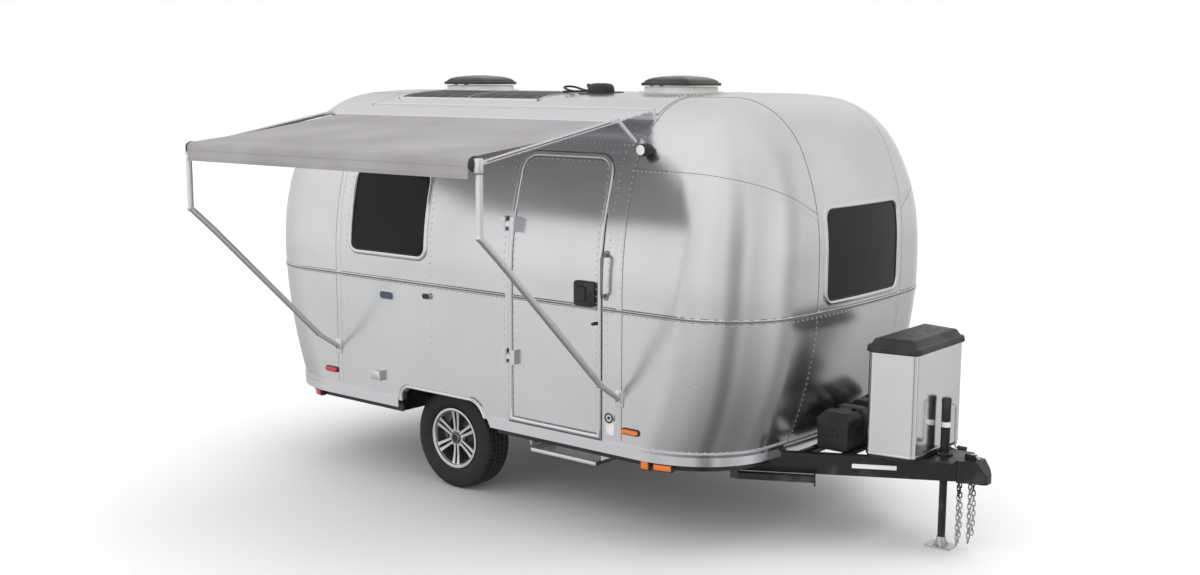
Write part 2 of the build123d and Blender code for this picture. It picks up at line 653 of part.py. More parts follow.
def gas_parts():
    cover = cover_block(0, COVER_FOOT, COVER_TOP) - cover_block(-COVER_SHEET, COVER_FOOT - 1, COVER_TOP + 1)
    lid_foot = COVER_TOP + LID_GAP
    lid = cover_block(LID_RIM, lid_foot, lid_foot + LID_TALL)
    lid = chamfer(lid.faces().sort_by(Axis.Z)[-1].edges(), 46)
    lid -= cover_block(-COVER_SHEET, lid_foot - 1, lid_foot + LID_TALL - 50)
    for y in (-LID_HINGE_Y, LID_HINGE_Y):
        axis = Pos(LID_HINGE_X, y, lid_foot) * Rot(90, 0, 0)
        lid += axis * Cylinder(7, 60) + Pos(LID_HINGE_X + 7, y, lid_foot + 4) * Box(14, 60, 8)
        lid -= axis * Cylinder(4 + RUNNING_FIT, 80)
        cover += axis * Cylinder(4, 80)
        for end in (-1, 1):
            cover += Pos(LID_HINGE_X, y + end * 36, lid_foot) * Rot(90, 0, 0) * Cylinder(7, 9)
            cover += Pos((LID_HINGE_X + COVER_REAR_X) / 2, y + end * 36, lid_foot - 14) * Box(
                COVER_REAR_X - LID_HINGE_X + 2, 9, 22)
    foot = TONGUE_BOTTOM + RAIL_DEPTH + TRAY_FLOOR
    x = (COVER_REAR_X + COVER_FRONT_X) / 2
    bottles = []
    for y in (-BOTTLE_Y, BOTTLE_Y):
        body = Pos(x, y, foot + BOTTLE_TALL / 2) * Cylinder(BOTTLE_RADIUS, BOTTLE_TALL)
        body = chamfer(body.edges().filter_by(GeomType.CIRCLE), 50)
        bottles.append(body + Pos(x, y, foot + BOTTLE_TALL + 40) * Cylinder(COLLAR_RADIUS, 90))
    return cover, lid, bottles


def battery_parts():
    boxes = []
    foot = TONGUE_BOTTOM + RAIL_DEPTH
    wide, long, tall = BATTERY_SIZE
    for y in (-BATTERY_Y, BATTERY_Y):
        lower = Pos(BATTERY_X, y, foot + tall * 0.31) * Box(wide, long - 14, tall * 0.62)
        upper = Pos(BATTERY_X, y, foot + tall * 0.81) * Box(wide + 10, long, tall * 0.38)
        upper = chamfer(upper.faces().sort_by(Axis.Z)[-1].edges(), 38)
        boxes.append(lower + upper)
    return boxes


def chains():
    """Two safety chains, each a row of stadium links turned by turns, hanging from the coupler."""
    link_long, link_wide, wire = 44, 26, 7
    pitch = link_long - 2 * wire + 1
    result = []
    for x, y, count in CHAINS:
        chain = None
        for index in range(count):
            level = BALL_LEVEL - SOCKET_MOUTH - link_long / 2 - 0.2 - index * pitch
            outer = chamfer(Rectangle(link_long, link_wide).vertices(), 9)
            inner = chamfer(Rectangle(link_long - 2 * wire, link_wide - 2 * wire).vertices(), 4)
            link = extrude(outer - inner, amount=wire / 2, both=True)
            link = Pos(x, y, level) * Rot(0, 0, 90 * (index % 2)) * Rot(0, 90, 0) * link
            chain = link if chain is None else chain + link
        result.append(chain)
    return result


def revolved(points, side, x=AXLE_X):
    """Turn a profile of (distance from the middle plane of the tyre, radius) about the axle."""
    middle = side * TYRE_MID_Y
    plane = Plane(origin=(x, middle, HUB_LEVEL), x_dir=(0, side, 0), z_dir=(side, 0, 0))
    face = plane * make_face(Polyline(points, close=True))
    return revolve(face, Axis((x, 0, HUB_LEVEL), (0, 1, 0)))


def wheel_parts(side):
    half = TYRE_WIDTH / 2
    tyre = revolved([
        (-88, BEAD_RADIUS), (-88, RIM_RADIUS + 2), (-half, 262), (-half + 5, 316), (-half + 24, TYRE_RADIUS - 6),
        (-half + 50, TYRE_RADIUS), (half - 50, TYRE_RADIUS), (half - 24, TYRE_RADIUS - 6), (half - 5, 316),
        (half, 262), (88, RIM_RADIUS + 2), (88, BEAD_RADIUS)], side)
    rim = revolved([
        (-94, RIM_RADIUS), (-88.3, RIM_RADIUS), (-88.3, 199.7), (88.3, 199.7), (88.3, RIM_RADIUS),
        (97, RIM_RADIUS), (97, 194), (84, 184), (-94, 188)], side)
    rim += revolved([(40, 0), (76, 0), (76, 40), (70, 66), (40, 70)], side)
    face_y = side * (TYRE_MID_Y + 62)
    for index in range(6):
        turn = Rot(0, 60 * index, 0)
        for offset in (-19, 19):
            spoke = Pos(0, 0, 122) * Box(17, 26, 142)
            rim += Pos(AXLE_X, face_y, HUB_LEVEL) * turn * Pos(offset, 0, 0) * spoke
    bore = Pos(AXLE_X, side * (TYRE_MID_Y - 20), HUB_LEVEL) * Rot(90, 0, 0) * Cylinder(
        SPINDLE_RADIUS + RUNNING_FIT, 300)
    drum = revolved([(-40, 0), (39.9, 0), (39.9, 90), (10, DRUM_RADIUS), (-40, DRUM_RADIUS)], side) - bore
    return tyre, rim, drum


def axle_parts():
    beam = Pos(BEAM_X, 0, BEAM_LEVEL) * Box(BEAM_SIZE, 2 * BEAM_HALF, BEAM_SIZE)
    beam = fillet(beam.edges().filter_by(Axis.Y), 12)
    for side in (-1, 1):
        plate = Pos(BEAM_X, side * 640, (BEAM_LEVEL + BELLY_BOTTOM) / 2 + 8) * Box(
            150, 12, BELLY_BOTTOM - BEAM_LEVEL + BEAM_SIZE - 16)
        plate &= Pos(0, 0, BELLY_BOTTOM - 100) * Box(4000, 4000, 200)
        beam += plate
    arms = []
    for side in (-1, 1):
        y = side * (BEAM_HALF + ARM_THICK / 2)
        arm = bar((BEAM_X + 26, y, BEAM_LEVEL + 10), (AXLE_X - 22, y, HUB_LEVEL - 12), ARM_THICK, ARM_WIDE)
        spindle_from = BEAM_HALF + ARM_THICK
        spindle_to = TYRE_MID_Y + 38
        spindle = Pos(AXLE_X, side * (spindle_from + spindle_to) / 2, HUB_LEVEL) * Rot(90, 0, 0) * Cylinder(
            SPINDLE_RADIUS, spindle_to - spindle_from)
        arms.append(arm + spindle)
    return beam, arms


def step_pin(y, z, length, clearance):
    """A pin along X on which the step swings, or its bore."""
    return Pos(STEP_X, y, z) * Rot(0, 90, 0) * Cylinder(STEP_PIN + clearance, length)


def step_parts():
    """Upper tread fixed to the floor frame, lower tread on a pair of swinging links."""
    upper = Pos(STEP_X - 15, STEP_FRONT_Y + 50 + TREAD_DEPTH / 2, UPPER_STEP_TOP - 12) * Box(
        500, TREAD_DEPTH - 30, 24)
    for side in (-1, 1):
        cheek = Pos(STEP_X + side * (STEP_WIDTH / 2 + 12), (LINK_ROOT_Y + LINK_TIP_Y) / 2 - 20,
                    (LINK_ROOT_Z + BELLY_BOTTOM) / 2 - 4) * Box(8, 210, BELLY_BOTTOM - LINK_ROOT_Z + 30)
        cheek &= Pos(0, 0, BELLY_BOTTOM - 100) * Box(4000, 4000, 200)
        cheek -= step_pin(LINK_ROOT_Y, LINK_ROOT_Z, STEP_WIDTH + 60, RUNNING_FIT)
        upper += cheek
    rail = Pos(STEP_X, (LINK_ROOT_Y + LINK_TIP_Y) / 2 + 60, BELLY_BOTTOM - 2) * Box(STEP_WIDTH + 30, 40, 4)
    upper += rail
    links = None
    for side in (-1, 1):
        x = STEP_X + side * (STEP_WIDTH / 2 + 2)
        link = bar((x, LINK_ROOT_Y - 8, LINK_ROOT_Z), (x, LINK_TIP_Y + 8, LINK_TIP_Z), 5, 20)
        links = link if links is None else links + link
        links += Pos(side * (STEP_WIDTH / 2 - 8), 0, 0) * step_pin(LINK_TIP_Y, LINK_TIP_Z, 24, 0)
    links += step_pin(LINK_ROOT_Y, LINK_ROOT_Z, STEP_WIDTH + 24, 0)
    tread = Pos(STEP_X, STEP_FRONT_Y + TREAD_DEPTH / 2, STEP_TREAD_TOP - TREAD_THICK / 2) * Box(
        STEP_WIDTH - 16, TREAD_DEPTH, TREAD_THICK)
    tread = fillet(tread.edges().filter_by(Axis.X), 8)
    for side in (-1, 1):
        lug = Pos(STEP_X + side * (STEP_WIDTH / 2 - 11), LINK_TIP_Y - 6, LINK_TIP_Z - 14) * Box(6, 26, 50)
        tread += lug - step_pin(LINK_TIP_Y, LINK_TIP_Z, STEP_WIDTH, RUNNING_FIT)
    return upper, links, tread


def stabiliser_parts():
    legs, brackets = {}, []
    for name, px, py, fx, fy in STABILISERS:
        run = math.hypot(fx - px, fy - py)
        turn = math.degrees(math.atan2(fy - py, fx - px))
        place = Pos(px, py, LEG_LEVEL) * Rot(0, 0, turn)
        leg = Pos(run / 2, 0, -LEG_DEEP / 2 + 8) * Box(run, LEG_WIDE, LEG_DEEP)
        leg -= Pos(run / 2, 0, -LEG_DEEP / 2 - 2) * Box(run - 30, LEG_WIDE - 8, LEG_DEEP)
        leg += Pos(-8, 0, -8) * Rot(90, 0, 0) * Cylinder(16, LEG_WIDE)
        leg -= Pos(-8, 0, -8) * Rot(90, 0, 0) * Cylinder(LEG_PIN + 0.1, LEG_WIDE + 10)
        foot = Pos(run + 4, 0, -LEG_DEEP / 2 + 8) * Box(10, 90, 74)
        leg += foot
        legs["stabiliser_" + name] = place * leg
        pin = Pos(-8, 0, -8) * Rot(90, 0, 0) * Cylinder(LEG_PIN, LEG_WIDE + 28)
        bracket = None
        for side in (-1, 1):
            cheek = Pos(-8, side * (LEG_WIDE / 2 + 9), (BELLY_BOTTOM - LEG_LEVEL - 24) / 2) * Box(
                48, 6, BELLY_BOTTOM - LEG_LEVEL + 24)
            bracket = cheek if bracket is None else bracket + cheek
        head = Pos(-8, 0, BELLY_BOTTOM - LEG_LEVEL - 4) * Box(60, LEG_WIDE + 30, 8)
        brackets.append(place * (bracket + pin + head))
    return legs, brackets


def roof_parts():
    bases, lids = [], {}
    for name, x in VENTS:
        top = ROOF_LEVEL
        flange = Pos(x, VENT_Y, top + 3) * Box(VENT_FLANGE, VENT_FLANGE, 8)
        flange = fillet(flange.edges().filter_by(Axis.Z), 30)
        curb = Pos(x, VENT_Y, (top + VENT_CURB_TOP) / 2) * Box(
            VENT_HOLE + 16, VENT_HOLE + 16, VENT_CURB_TOP - top)
        curb = fillet(curb.edges().filter_by(Axis.Z), 24)
        base = flange + curb - Pos(x, VENT_Y, top) * Box(VENT_HOLE - 4, VENT_HOLE - 4, 200)
        hinge_x, hinge_z = x - LID_SIZE / 2 - 6, VENT_CURB_TOP + 5
        for y in (-56, 56):
            base += Pos(hinge_x, VENT_Y + y, hinge_z) * Rot(90, 0, 0) * Cylinder(5, 40)
            base += Pos(hinge_x, VENT_Y + y, (ROOF_LEVEL + hinge_z) / 2) * Box(8, 40, hinge_z - ROOF_LEVEL)
        bases.append(base - form("straight", 0))
        dome = Pos(x, VENT_Y, VENT_CURB_TOP + 5 + 11) * Box(LID_SIZE, LID_SIZE, 22)
        dome = fillet(dome.edges().filter_by(Axis.Z), 34)
        upper = loft([Pos(x, VENT_Y, VENT_CURB_TOP + 27) * RectangleRounded(LID_SIZE - 24, LID_SIZE - 24, 30),
                      Pos(x, VENT_Y, VENT_CURB_TOP + 27 + LID_DOME * 0.62) * RectangleRounded(
                          LID_SIZE - 90, LID_SIZE - 70, 30),
                      Pos(x, VENT_Y, VENT_CURB_TOP + 27 + LID_DOME) * RectangleRounded(
                          LID_SIZE - 230, LID_SIZE - 190, 30)], ruled=True)
        knuckle = Pos(hinge_x, VENT_Y, hinge_z) * Rot(90, 0, 0) * Cylinder(5, 71.4)
        knuckle += Pos(hinge_x + 5, VENT_Y, hinge_z + 3) * Box(10, 71.4, 6)
        lids["vent_lid_" + name] = dome + upper + knuckle
    panel = Pos(SOLAR_X, sum(SOLAR_Y) / 2, ROOF_LEVEL) * Box(SOLAR_LENGTH, SOLAR_Y[1] - SOLAR_Y[0], 300)
    solar = on_wall(panel, SOLAR_PROUD + 1, 1)
    pad = Pos(425, -330, ROOF_LEVEL) * Box(230, 230, 200)
    pad = on_wall(pad, 7, 1)
    box = Pos(425, -330, 2776) * Box(150, 120, 64)
    box = fillet(box.edges().filter_by(Axis.Z), 24)
    entry = (box - form("straight", 1)) + pad
    return bases, lids, solar, entry


def awning_parts():
    length = 2 * AWNING_HALF
    fall = (ROLLER_Z - AWNING_RAIL_Z) / (ROLLER_Y - AWNING_RAIL_Y)
    tilt = math.degrees(math.atan(fall))

    def at(y):
        return AWNING_RAIL_Z + (y - AWNING_RAIL_Y) * fall

    rail = Pos(0, AWNING_RAIL_Y - 4, AWNING_RAIL_Z - 16) * Box(length + 40, 30, 78)
    rail -= form("straight", 0.3)
    pitch = (AWNING_RAIL_Y - SLAT_END_Y - 22) / SLATS
    slats = None
    for index in range(SLATS):
        y = AWNING_RAIL_Y - 19.7 - pitch * (index + 0.5)
        rib = Pos(0, y, at(y)) * Rot(tilt, 0, 0) * Box(length, pitch + 1, 5)
        rib += Pos(0, y, at(y) + 4) * Rot(tilt, 0, 0) * Box(length, pitch * 0.55, 7)
        slats = rib if slats is None else slats + rib
    start, end = SLAT_END_Y + 1.7, ROLLER_Y + ROLLER_RADIUS - 0.2
    run = math.hypot(end - start, at(end) - at(start))
    fabric = Pos(0, (start + end) / 2, (at(start) + at(end)) / 2) * Rot(tilt, 0, 0) * Box(
        length - 10, run, FABRIC_THICK)
    roller = Pos(0, ROLLER_Y, ROLLER_Z) * Rot(0, 90, 0) * Cylinder(ROLLER_RADIUS, length - 4)
    roller += Pos(0, ROLLER_Y, ROLLER_Z - ROLLER_RADIUS - 14) * Box(length - 8, 5, 40)
    for side in (-1, 1):
        cap = Pos(side * (AWNING_HALF + 7), ROLLER_Y, ROLLER_Z) * Rot(0, 90, 0) * Cylinder(
            ROLLER_RADIUS + 6, 20)
        head = Pos(side * (AWNING_HALF + 34), ROLLER_Y, ROLLER_Z - 8) * Box(40, 44, 82)
        roller += cap + head
    arms, rafters = [], []
    for side in (-1, 1):
        x = side * ARM_X
        points = [(x, y, z) for y, z in LOWER_ARM]
        arm = None
        for first, last in zip(points, points[1:]):
            piece = bar(first, last, ARM_BAR, ARM_BAR)
            arm = piece if arm is None else arm + piece
        for point in points[1:-1]:
            arm += Pos(*point) * Rot(0, 90, 0) * Cylinder(ARM_BAR * 0.62, ARM_BAR)
        foot = Pos(x, -1234, 914) * Box(60, 18, 110)
        arm = arm + foot
        arm -= form("straight", 0.3)
        arms.append(arm)
        x2 = side * (ARM_X - 8)
        rpoints = [(x2, y, z) for y, z in RAFTER]
        rafter = None
        for first, last in zip(rpoints, rpoints[1:]):
            piece = bar(first, last, RAFTER_BAR - 10, RAFTER_BAR)
            rafter = piece if rafter is None else rafter + piece
        rafter += Pos(*rpoints[1]) * Rot(0, 90, 0) * Cylinder(RAFTER_BAR * 0.6, RAFTER_BAR - 10)
        rafter -= form("straight", 0.3)
        rafters.append(rafter)
    return {"awning_rail": rail, "awning_slats": slats, "awning_fabric": fabric,
            "awning_roller": roller, "awning_lower_arms": arms, "awning_rafters": rafters}


def lamps_and_fittings():
    amber, red = [], []
    for side in (-1, 1):
        for group, x, level in ((amber, 1395, 718), (red, -1395, 732)):
            oval = Pos(x, level) * SlotOverall(142, 42)
            kind = "front" if x > 0 else "rear"
            group.append(on_wall(side_prism(oval, side, (900, 1420)), 24, 0, kind))
        oval = Pos(side * 620, 860) * SlotOverall(190, 74)
        red.append(on_wall(end_prism(oval, -1), 26, 0, "rear"))
    porch = Pos(1382, -1080, 2434) * Rot(90, 0, 0) * Cylinder(38, 110) - form("front", 0.3)
    handle = tube([(1196, -1214, 1530), (1196, -1272, 1545), (1196, -1272, 1785), (1196, -1206, 1800)], 9, 22)
    handle -= form("straight", 0.3)
    fittings = []
    for side, x, level, outline, proud in (
            (-1, -891, 760, RectangleRounded(100, 76, 8), 34),
            (-1, -376, 1379, SlotOverall(78, 44), 16),
            (-1, 1232, 782, Circle(34), 12),
            (1, -300, 1180, RectangleRounded(420, 300, 20), 14),
            (1, 1010, 1310, RectangleRounded(330, 150, 16), 12),
            (1, -1010, 830, RectangleRounded(300, 300, 20), 14)):
        fittings.append(on_wall(side_prism(Pos(x, level) * outline, side), proud, 0))
    return {"lamps_amber": amber, "lamps_red": red, "porch_lamp": porch, "grab_handle": handle,
            "wall_fittings": fittings}


def build():
    nodes = {}
    nodes.update(walls())
    nodes.update(window_parts())
    nodes.update(door_parts())
    frame, pockets = tongue_parts()
    floor, belly, housings, spaces = underbody(pockets)
    nodes["belt_moulding"], nodes["base_rail"] = mouldings(pockets, spaces)
    nodes["floor"] = floor
    nodes["belly_pan"] = belly
    nodes["wheel_housings"] = housings
    nodes["wheel_arch_trims"] = arch_trims()
    nodes["tongue_frame"] = frame
    nodes["coupler"] = coupler()
    nodes["jack_tube"], nodes["jack_leg"], nodes["jack_crank"] = jack_parts()
    nodes["gas_cover"], nodes["gas_cover_lid"], nodes["gas_bottles"] = gas_parts()
    nodes["battery_boxes"] = battery_parts()
    nodes["safety_chains"] = chains()
    for word, side in (("left", 1), ("right", -1)):
        tyre, rim, drum = wheel_parts(side)
        nodes["tyre_" + word], nodes["rim_" + word], nodes["drum_" + word] = tyre, rim, drum
    nodes["axle_beam"], nodes["axle_arms"] = axle_parts()
    nodes["step_frame"], nodes["step_links"], nodes["step_tread"] = step_parts()
    legs, brackets = stabiliser_parts()
    nodes.update(legs)
    nodes["stabiliser_brackets"] = brackets
    bases, lids, solar, entry = roof_parts()
    nodes["vent_bases"] = bases
    nodes.update(lids)
    nodes["solar_panel"], nodes["cable_entry"] = solar, entry
    nodes.update(awning_parts())
    nodes.update(lamps_and_fittings())
    hatch = on_wall(side_prism(hatch_sketch(HATCH_GAP), 1), 0, -WALL)
    moving, fixed = hatch_hinges()
    nodes["storage_hatch"] = hatch + moving
    nodes["hinge_knuckles"] += fixed
    return nodes


def solids_of(shape):
    if isinstance(shape, (list, tuple)):
        return [solid for item in shape for solid in solids_of(item)]
    return list(shape.solids())


os.makedirs("parts", exist_ok=True)
to_ball = Pos(-BALL_X, 0, -BALL_LEVEL)
for name, shape in build().items():
    solids = [to_ball * solid for solid in solids_of(shape)]
    whole = solids[0] if len(solids) == 1 else Compound(children=solids)
    export_step(whole, os.path.join("parts", name + ".step"))
print("done")
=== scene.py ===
# %% [markdown]
# # A riveted aluminium caravan
# This lesson dresses a small rounded travel caravan: a polished sheet body on one axle, a cloth
# awning held out on thin arms, a roof with two vents and a solar panel, and a tongue that carries
# a jack, batteries and a gas cover. The construction model comes first and is never moved.
# Places below are laid out in millimetres, and each mesh is turned into that model's own metres.

# %% Load the construction model
import math

import bmesh
import bpy
import numpy as np
from mathutils import Matrix, Vector
from mathutils.bvhtree import BVHTree
from mathutils.geometry import delaunay_2d_cdt


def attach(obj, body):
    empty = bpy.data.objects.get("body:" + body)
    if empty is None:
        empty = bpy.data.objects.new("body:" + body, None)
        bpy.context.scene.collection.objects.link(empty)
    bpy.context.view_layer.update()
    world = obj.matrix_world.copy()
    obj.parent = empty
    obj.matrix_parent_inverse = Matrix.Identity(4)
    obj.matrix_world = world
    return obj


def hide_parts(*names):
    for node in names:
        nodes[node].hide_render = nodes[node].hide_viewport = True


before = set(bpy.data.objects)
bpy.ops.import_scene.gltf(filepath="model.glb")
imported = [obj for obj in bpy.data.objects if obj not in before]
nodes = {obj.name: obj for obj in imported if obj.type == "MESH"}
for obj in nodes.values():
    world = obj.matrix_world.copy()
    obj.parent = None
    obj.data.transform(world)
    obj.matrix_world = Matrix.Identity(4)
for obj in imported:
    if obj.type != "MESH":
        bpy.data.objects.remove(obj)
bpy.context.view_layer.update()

# %% [markdown]
# ## Two ways to name a place
# The body was laid out in stations from its middle and in levels above the ground, which is how
# a coach builder would measure it. `spots` turns such millimetres into the model's own metres.

# %% Places
BALL_X = 3118
BALL_LEVEL = 470


def spots(points):
    """Points in millimetres, one a row, as metres from the towing ball."""
    return (np.asarray(points, float) - (BALL_X, 0, BALL_LEVEL)) / 1000


print("towing ball at station", BALL_X, "level", BALL_LEVEL)

# %% [markdown]
# ## Camera
# The picture was taken from the front right at about eye height on a low ladder, with a normal
# lens. The camera is placed by its direction rather than by an aim point, so that the verticals
# lean as they do in the picture.

# %% Camera
CAMERA_PLACE = (3.312, -7.70, 2.39)
PHOTO_WIDE, FOCAL = 1200, 1377
yaw, pitch, roll = (math.radians(a) for a in (39.2, 8.65, -0.19))
ahead = Vector((-math.sin(yaw) * math.cos(pitch), math.cos(yaw) * math.cos(pitch), -math.sin(pitch)))
level_right = Vector((math.cos(yaw), math.sin(yaw), 0))
up = level_right.cross(ahead)
right = level_right * math.cos(roll) - up * math.sin(roll)
up = right.cross(ahead)
lens = bpy.data.cameras.new("camera")
lens.sensor_width = 36
lens.lens = FOCAL / PHOTO_WIDE * lens.sensor_width
camera = bpy.data.objects.new("camera", lens)
facing = Matrix((right, up, -ahead)).transposed().to_4x4()
camera.matrix_world = Matrix.Translation(CAMERA_PLACE) @ facing
bpy.context.collection.objects.link(camera)
bpy.context.scene.camera = camera
print("lens", round(lens.lens, 2))

# %% [markdown]
# ## Shader maths as plain expressions
# A material is easier to read when its maths looks like maths. `Link` wraps one socket, and its
# operators add the Math node that the expression means. `Finish` keeps one material's tree and
# makes every other node, with its settings first and its inputs after.

# %% A socket that can be added and multiplied


class Link:
    def __init__(self, finish, socket):
        self.finish, self.socket = finish, socket

    def op(self, operation, *others, clamp=False):
        settings = {"operation": operation, "use_clamp": clamp}
        return self.finish.node("ShaderNodeMath", settings, dict(enumerate((self, *others))))

    def __add__(self, other):
        return self.op("ADD", other)

    def __mul__(self, other):
        return self.op("MULTIPLY", other)

    def __sub__(self, other):
        return self.op("SUBTRACT", other)

    def __rsub__(self, other):
        return (self * -1) + other

    def __truediv__(self, other):
        return self.op("DIVIDE", other)

    def __gt__(self, other):
        return self.op("GREATER_THAN", other)

    def clamp(self):
        return self.op("ADD", 0, clamp=True)

    def abs(self):
        return self.op("ABSOLUTE")

    def ramp(self, low, high):
        """0 below low, 1 above high, and even between them."""
        return ((self - low) / (high - low)).clamp()

    __radd__, __rmul__ = __add__, __mul__


class Tree:
    """A node tree with a short way to add nodes."""

    def __init__(self, tree, shader):
        self.tree, self.shader = tree, tree.nodes[shader]

    def set(self, socket, value):
        target = self.shader.inputs[socket]
        if isinstance(value, Link):
            self.tree.links.new(value.socket, target)
        elif isinstance(value, tuple) and len(value) == 3:
            target.default_value = (*value, 1)
        else:
            target.default_value = value

    def node(self, kind, settings=None, inputs=None, out=0):
        made = self.tree.nodes.new(kind)
        for name, value in (settings or {}).items():
            if name == "stops":
                for index, (place, grey) in enumerate(value):
                    stop = made.color_ramp.elements
                    stop = stop[index] if index < len(stop) else stop.new(place)
                    stop.position, stop.color = place, (grey, grey, grey, 1)
            else:
                setattr(made, name, value)
        for name, value in (inputs or {}).items():
            if isinstance(value, Link):
                self.tree.links.new(value.socket, made.inputs[name])
            else:
                made.inputs[name].default_value = value
        return Link(self, made.outputs[out])

    def part_of(self, vector, name):
        split = self.node("ShaderNodeSeparateXYZ", inputs={0: vector})
        return Link(self, split.socket.node.outputs["XYZ".index(name)])

    def noise(self, scale, detail=3.0, where=None, rough=0.5):
        values = {"Vector": where or self.place(), "Scale": scale, "Detail": detail, "Roughness": rough}
        return self.node("ShaderNodeTexNoise", inputs=values)

    def mix(self, mask, first, second):
        """Colour `first` where mask is 0, `second` where it is 1."""
        pair = [(*c, 1) if isinstance(c, tuple) else c for c in (first, second)]
        return self.node("ShaderNodeMix", {"data_type": "RGBA"}, {0: mask, 6: pair[0], 7: pair[1]}, out=2)


class Finish(Tree):
    """One material: constants go straight onto its shader, what varies is linked to it."""

    def __init__(self, name, colour, roughness=0.5, metallic=0.0, **plain):
        self.material = bpy.data.materials.new(name)
        self.material.use_nodes = True
        super().__init__(self.material.node_tree, "Principled BSDF")
        self.set("Base Color", colour)
        self.set("Roughness", roughness)
        self.set("Metallic", metallic)
        for socket, value in plain.items():
            self.set(socket.replace("_", " "), value)
        self.material.diffuse_color = (*colour, 1)

    def place(self):
        """Where a point is on the object, in metres."""
        return self.node("ShaderNodeTexCoord", out=3)

    def axis(self, name):
        return self.part_of(self.place(), name)

    def stretched(self, sx, sy, sz):
        return self.node("ShaderNodeVectorMath", {"operation": "MULTIPLY"},
                         {0: self.place(), 1: (sx, sy, sz)})

    def bump(self, height, strength=0.2, distance=0.001):
        values = {"Height": height, "Strength": strength, "Distance": distance}
        self.set("Normal", self.node("ShaderNodeBump", inputs=values))
        return self

    def mottle(self, scale, share, least, detail=3.0):
        """Roughness from a noise: never under `least`, and at most `share` above it."""
        self.set("Roughness", self.noise(scale, detail) * share + least)


# %% [markdown]
# ## Polished sheet
# The real skin is aluminium sheet that was polished and then brushed lightly. It mirrors what is
# round it softly, never evenly: wide soft waves come from the ribs behind it, and small dents from
# use. Waves and dents go into the bump, and a faint cloudiness goes into roughness and colour.

# %% Metals


def sheet_metal(name, colour, rough, wave=1.0):
    finish = Finish(name, colour, rough, 1.0)
    cloud = finish.noise(1.7, 4.0)
    grain = finish.noise(26.0, 3.0, finish.stretched(1.0, 1.0, 0.04))
    darker = tuple(c * 0.93 for c in colour)
    finish.set("Base Color", finish.mix(cloud.ramp(0.34, 0.68), darker, colour))
    finish.set("Roughness", (cloud * 0.06 + grain * 0.05 + (rough - 0.055)).clamp())
    wide = finish.noise(1.6, 1.0)
    dents = finish.node("ShaderNodeTexVoronoi", {"feature": "F1"}, {"Vector": finish.place(), "Scale": 3.4})
    chosen = Link(finish, dents.socket.node.outputs["Color"]) > 0.52
    pits = (1 - dents.ramp(0.0, 0.062)) * chosen
    return finish.bump((wide * 2.2 - pits * pits * 1.7 + grain * 0.02) * wave, 0.35, 0.004)


skin = sheet_metal("polished sheet", (0.79, 0.795, 0.805), 0.24)
bright = Finish("bright trim", (0.80, 0.81, 0.83), 0.2, 1.0)
bright.mottle(9.0, 0.16, 0.12)
bright.bump(bright.noise(60.0, 2.0), 0.05, 0.001)
rail_metal = Finish("drawn aluminium", (0.88, 0.885, 0.89), 0.42, 1.0)
rail_metal.set("Roughness", rail_metal.noise(14.0, 3.0, rail_metal.stretched(0.1, 1, 1)) * 0.2 + 0.24)
rail_metal.bump(rail_metal.noise(90.0, 2.0, rail_metal.stretched(0.05, 1, 1)), 0.08, 0.001)
rivet_metal = Finish("rivet heads", (0.86, 0.87, 0.88), 0.42, 1.0)
rivet_metal.mottle(40.0, 0.2, 0.2)
print("metals made")

# %% [markdown]
# ## The body as a formula
# The cross-section is made of arcs that run into each other, and the end walls are made of arcs
# too, turned about a far upright axis. Where an end wall meets the sides and the roof, a ball of
# one radius rolls along inside both. `section` gives a point and its outward direction along the
# cross-section, `end_wall` does it for an end wall, and the ball's track joins the two.

# %% The cross-section
HALF_WIDTH, BASE, LEAN_LEVEL, LEAN_R = 1226.0, 610.0, 1570.0, 2200.0
SHOULDER_R, CROWN_R, ROOF = 640.0, 6000.0, 2767.0
END_X, END_CROWN, TUCK_LEVEL, TUCK_R = 2300.0, 6500.0, 1650.0, 2800.0
END_LEAN_LEVEL, END_LEAN_R, NOSE_R, BARREL = 1800.0, 1500.0, 550.0, 1300.0
WALL = 40.0
BELT_LEVEL = 1457

lean_centre = np.array((HALF_WIDTH - LEAN_R, LEAN_LEVEL))
crown_centre = np.array((0.0, ROOF - CROWN_R))


def shoulder():
    a, b = CROWN_R - SHOULDER_R, LEAN_R - SHOULDER_R
    gap = lean_centre - crown_centre
    apart = np.hypot(*gap)
    along = (a * a - b * b + apart * apart) / (2 * apart)
    off = math.sqrt(a * a - along * along)
    unit = gap / apart
    return crown_centre + along * unit + off * np.array((unit[1], -unit[0]))


shoulder_centre = shoulder()
lean_turn = math.atan2(*(shoulder_centre - lean_centre)[::-1])
crown_turn = math.atan2(*(shoulder_centre - crown_centre)[::-1])
SIDE_LONG = LEAN_LEVEL - BASE
LEAN_LONG = LEAN_R * lean_turn
SHOULDER_LONG = SHOULDER_R * (crown_turn - lean_turn)
CROWN_LONG = CROWN_R * (math.pi / 2 - crown_turn)
HALF_LONG = SIDE_LONG + LEAN_LONG + SHOULDER_LONG + CROWN_LONG


def section(s):
    """Point (y, level) and outward direction at a length s along the left half, from its foot."""
    if s <= SIDE_LONG:
        return np.array((HALF_WIDTH, BASE + s)), np.array((1.0, 0.0))
    s -= SIDE_LONG
    for centre, radius, first, long in (
            (lean_centre, LEAN_R, 0.0, LEAN_LONG),
            (shoulder_centre, SHOULDER_R, lean_turn, SHOULDER_LONG),
            (crown_centre, CROWN_R, crown_turn, CROWN_LONG + 1)):
        if s <= long:
            break
        s -= long
    turn = first + s / radius
    away = np.array((math.cos(turn), math.sin(turn)))
    return centre + radius * away, away


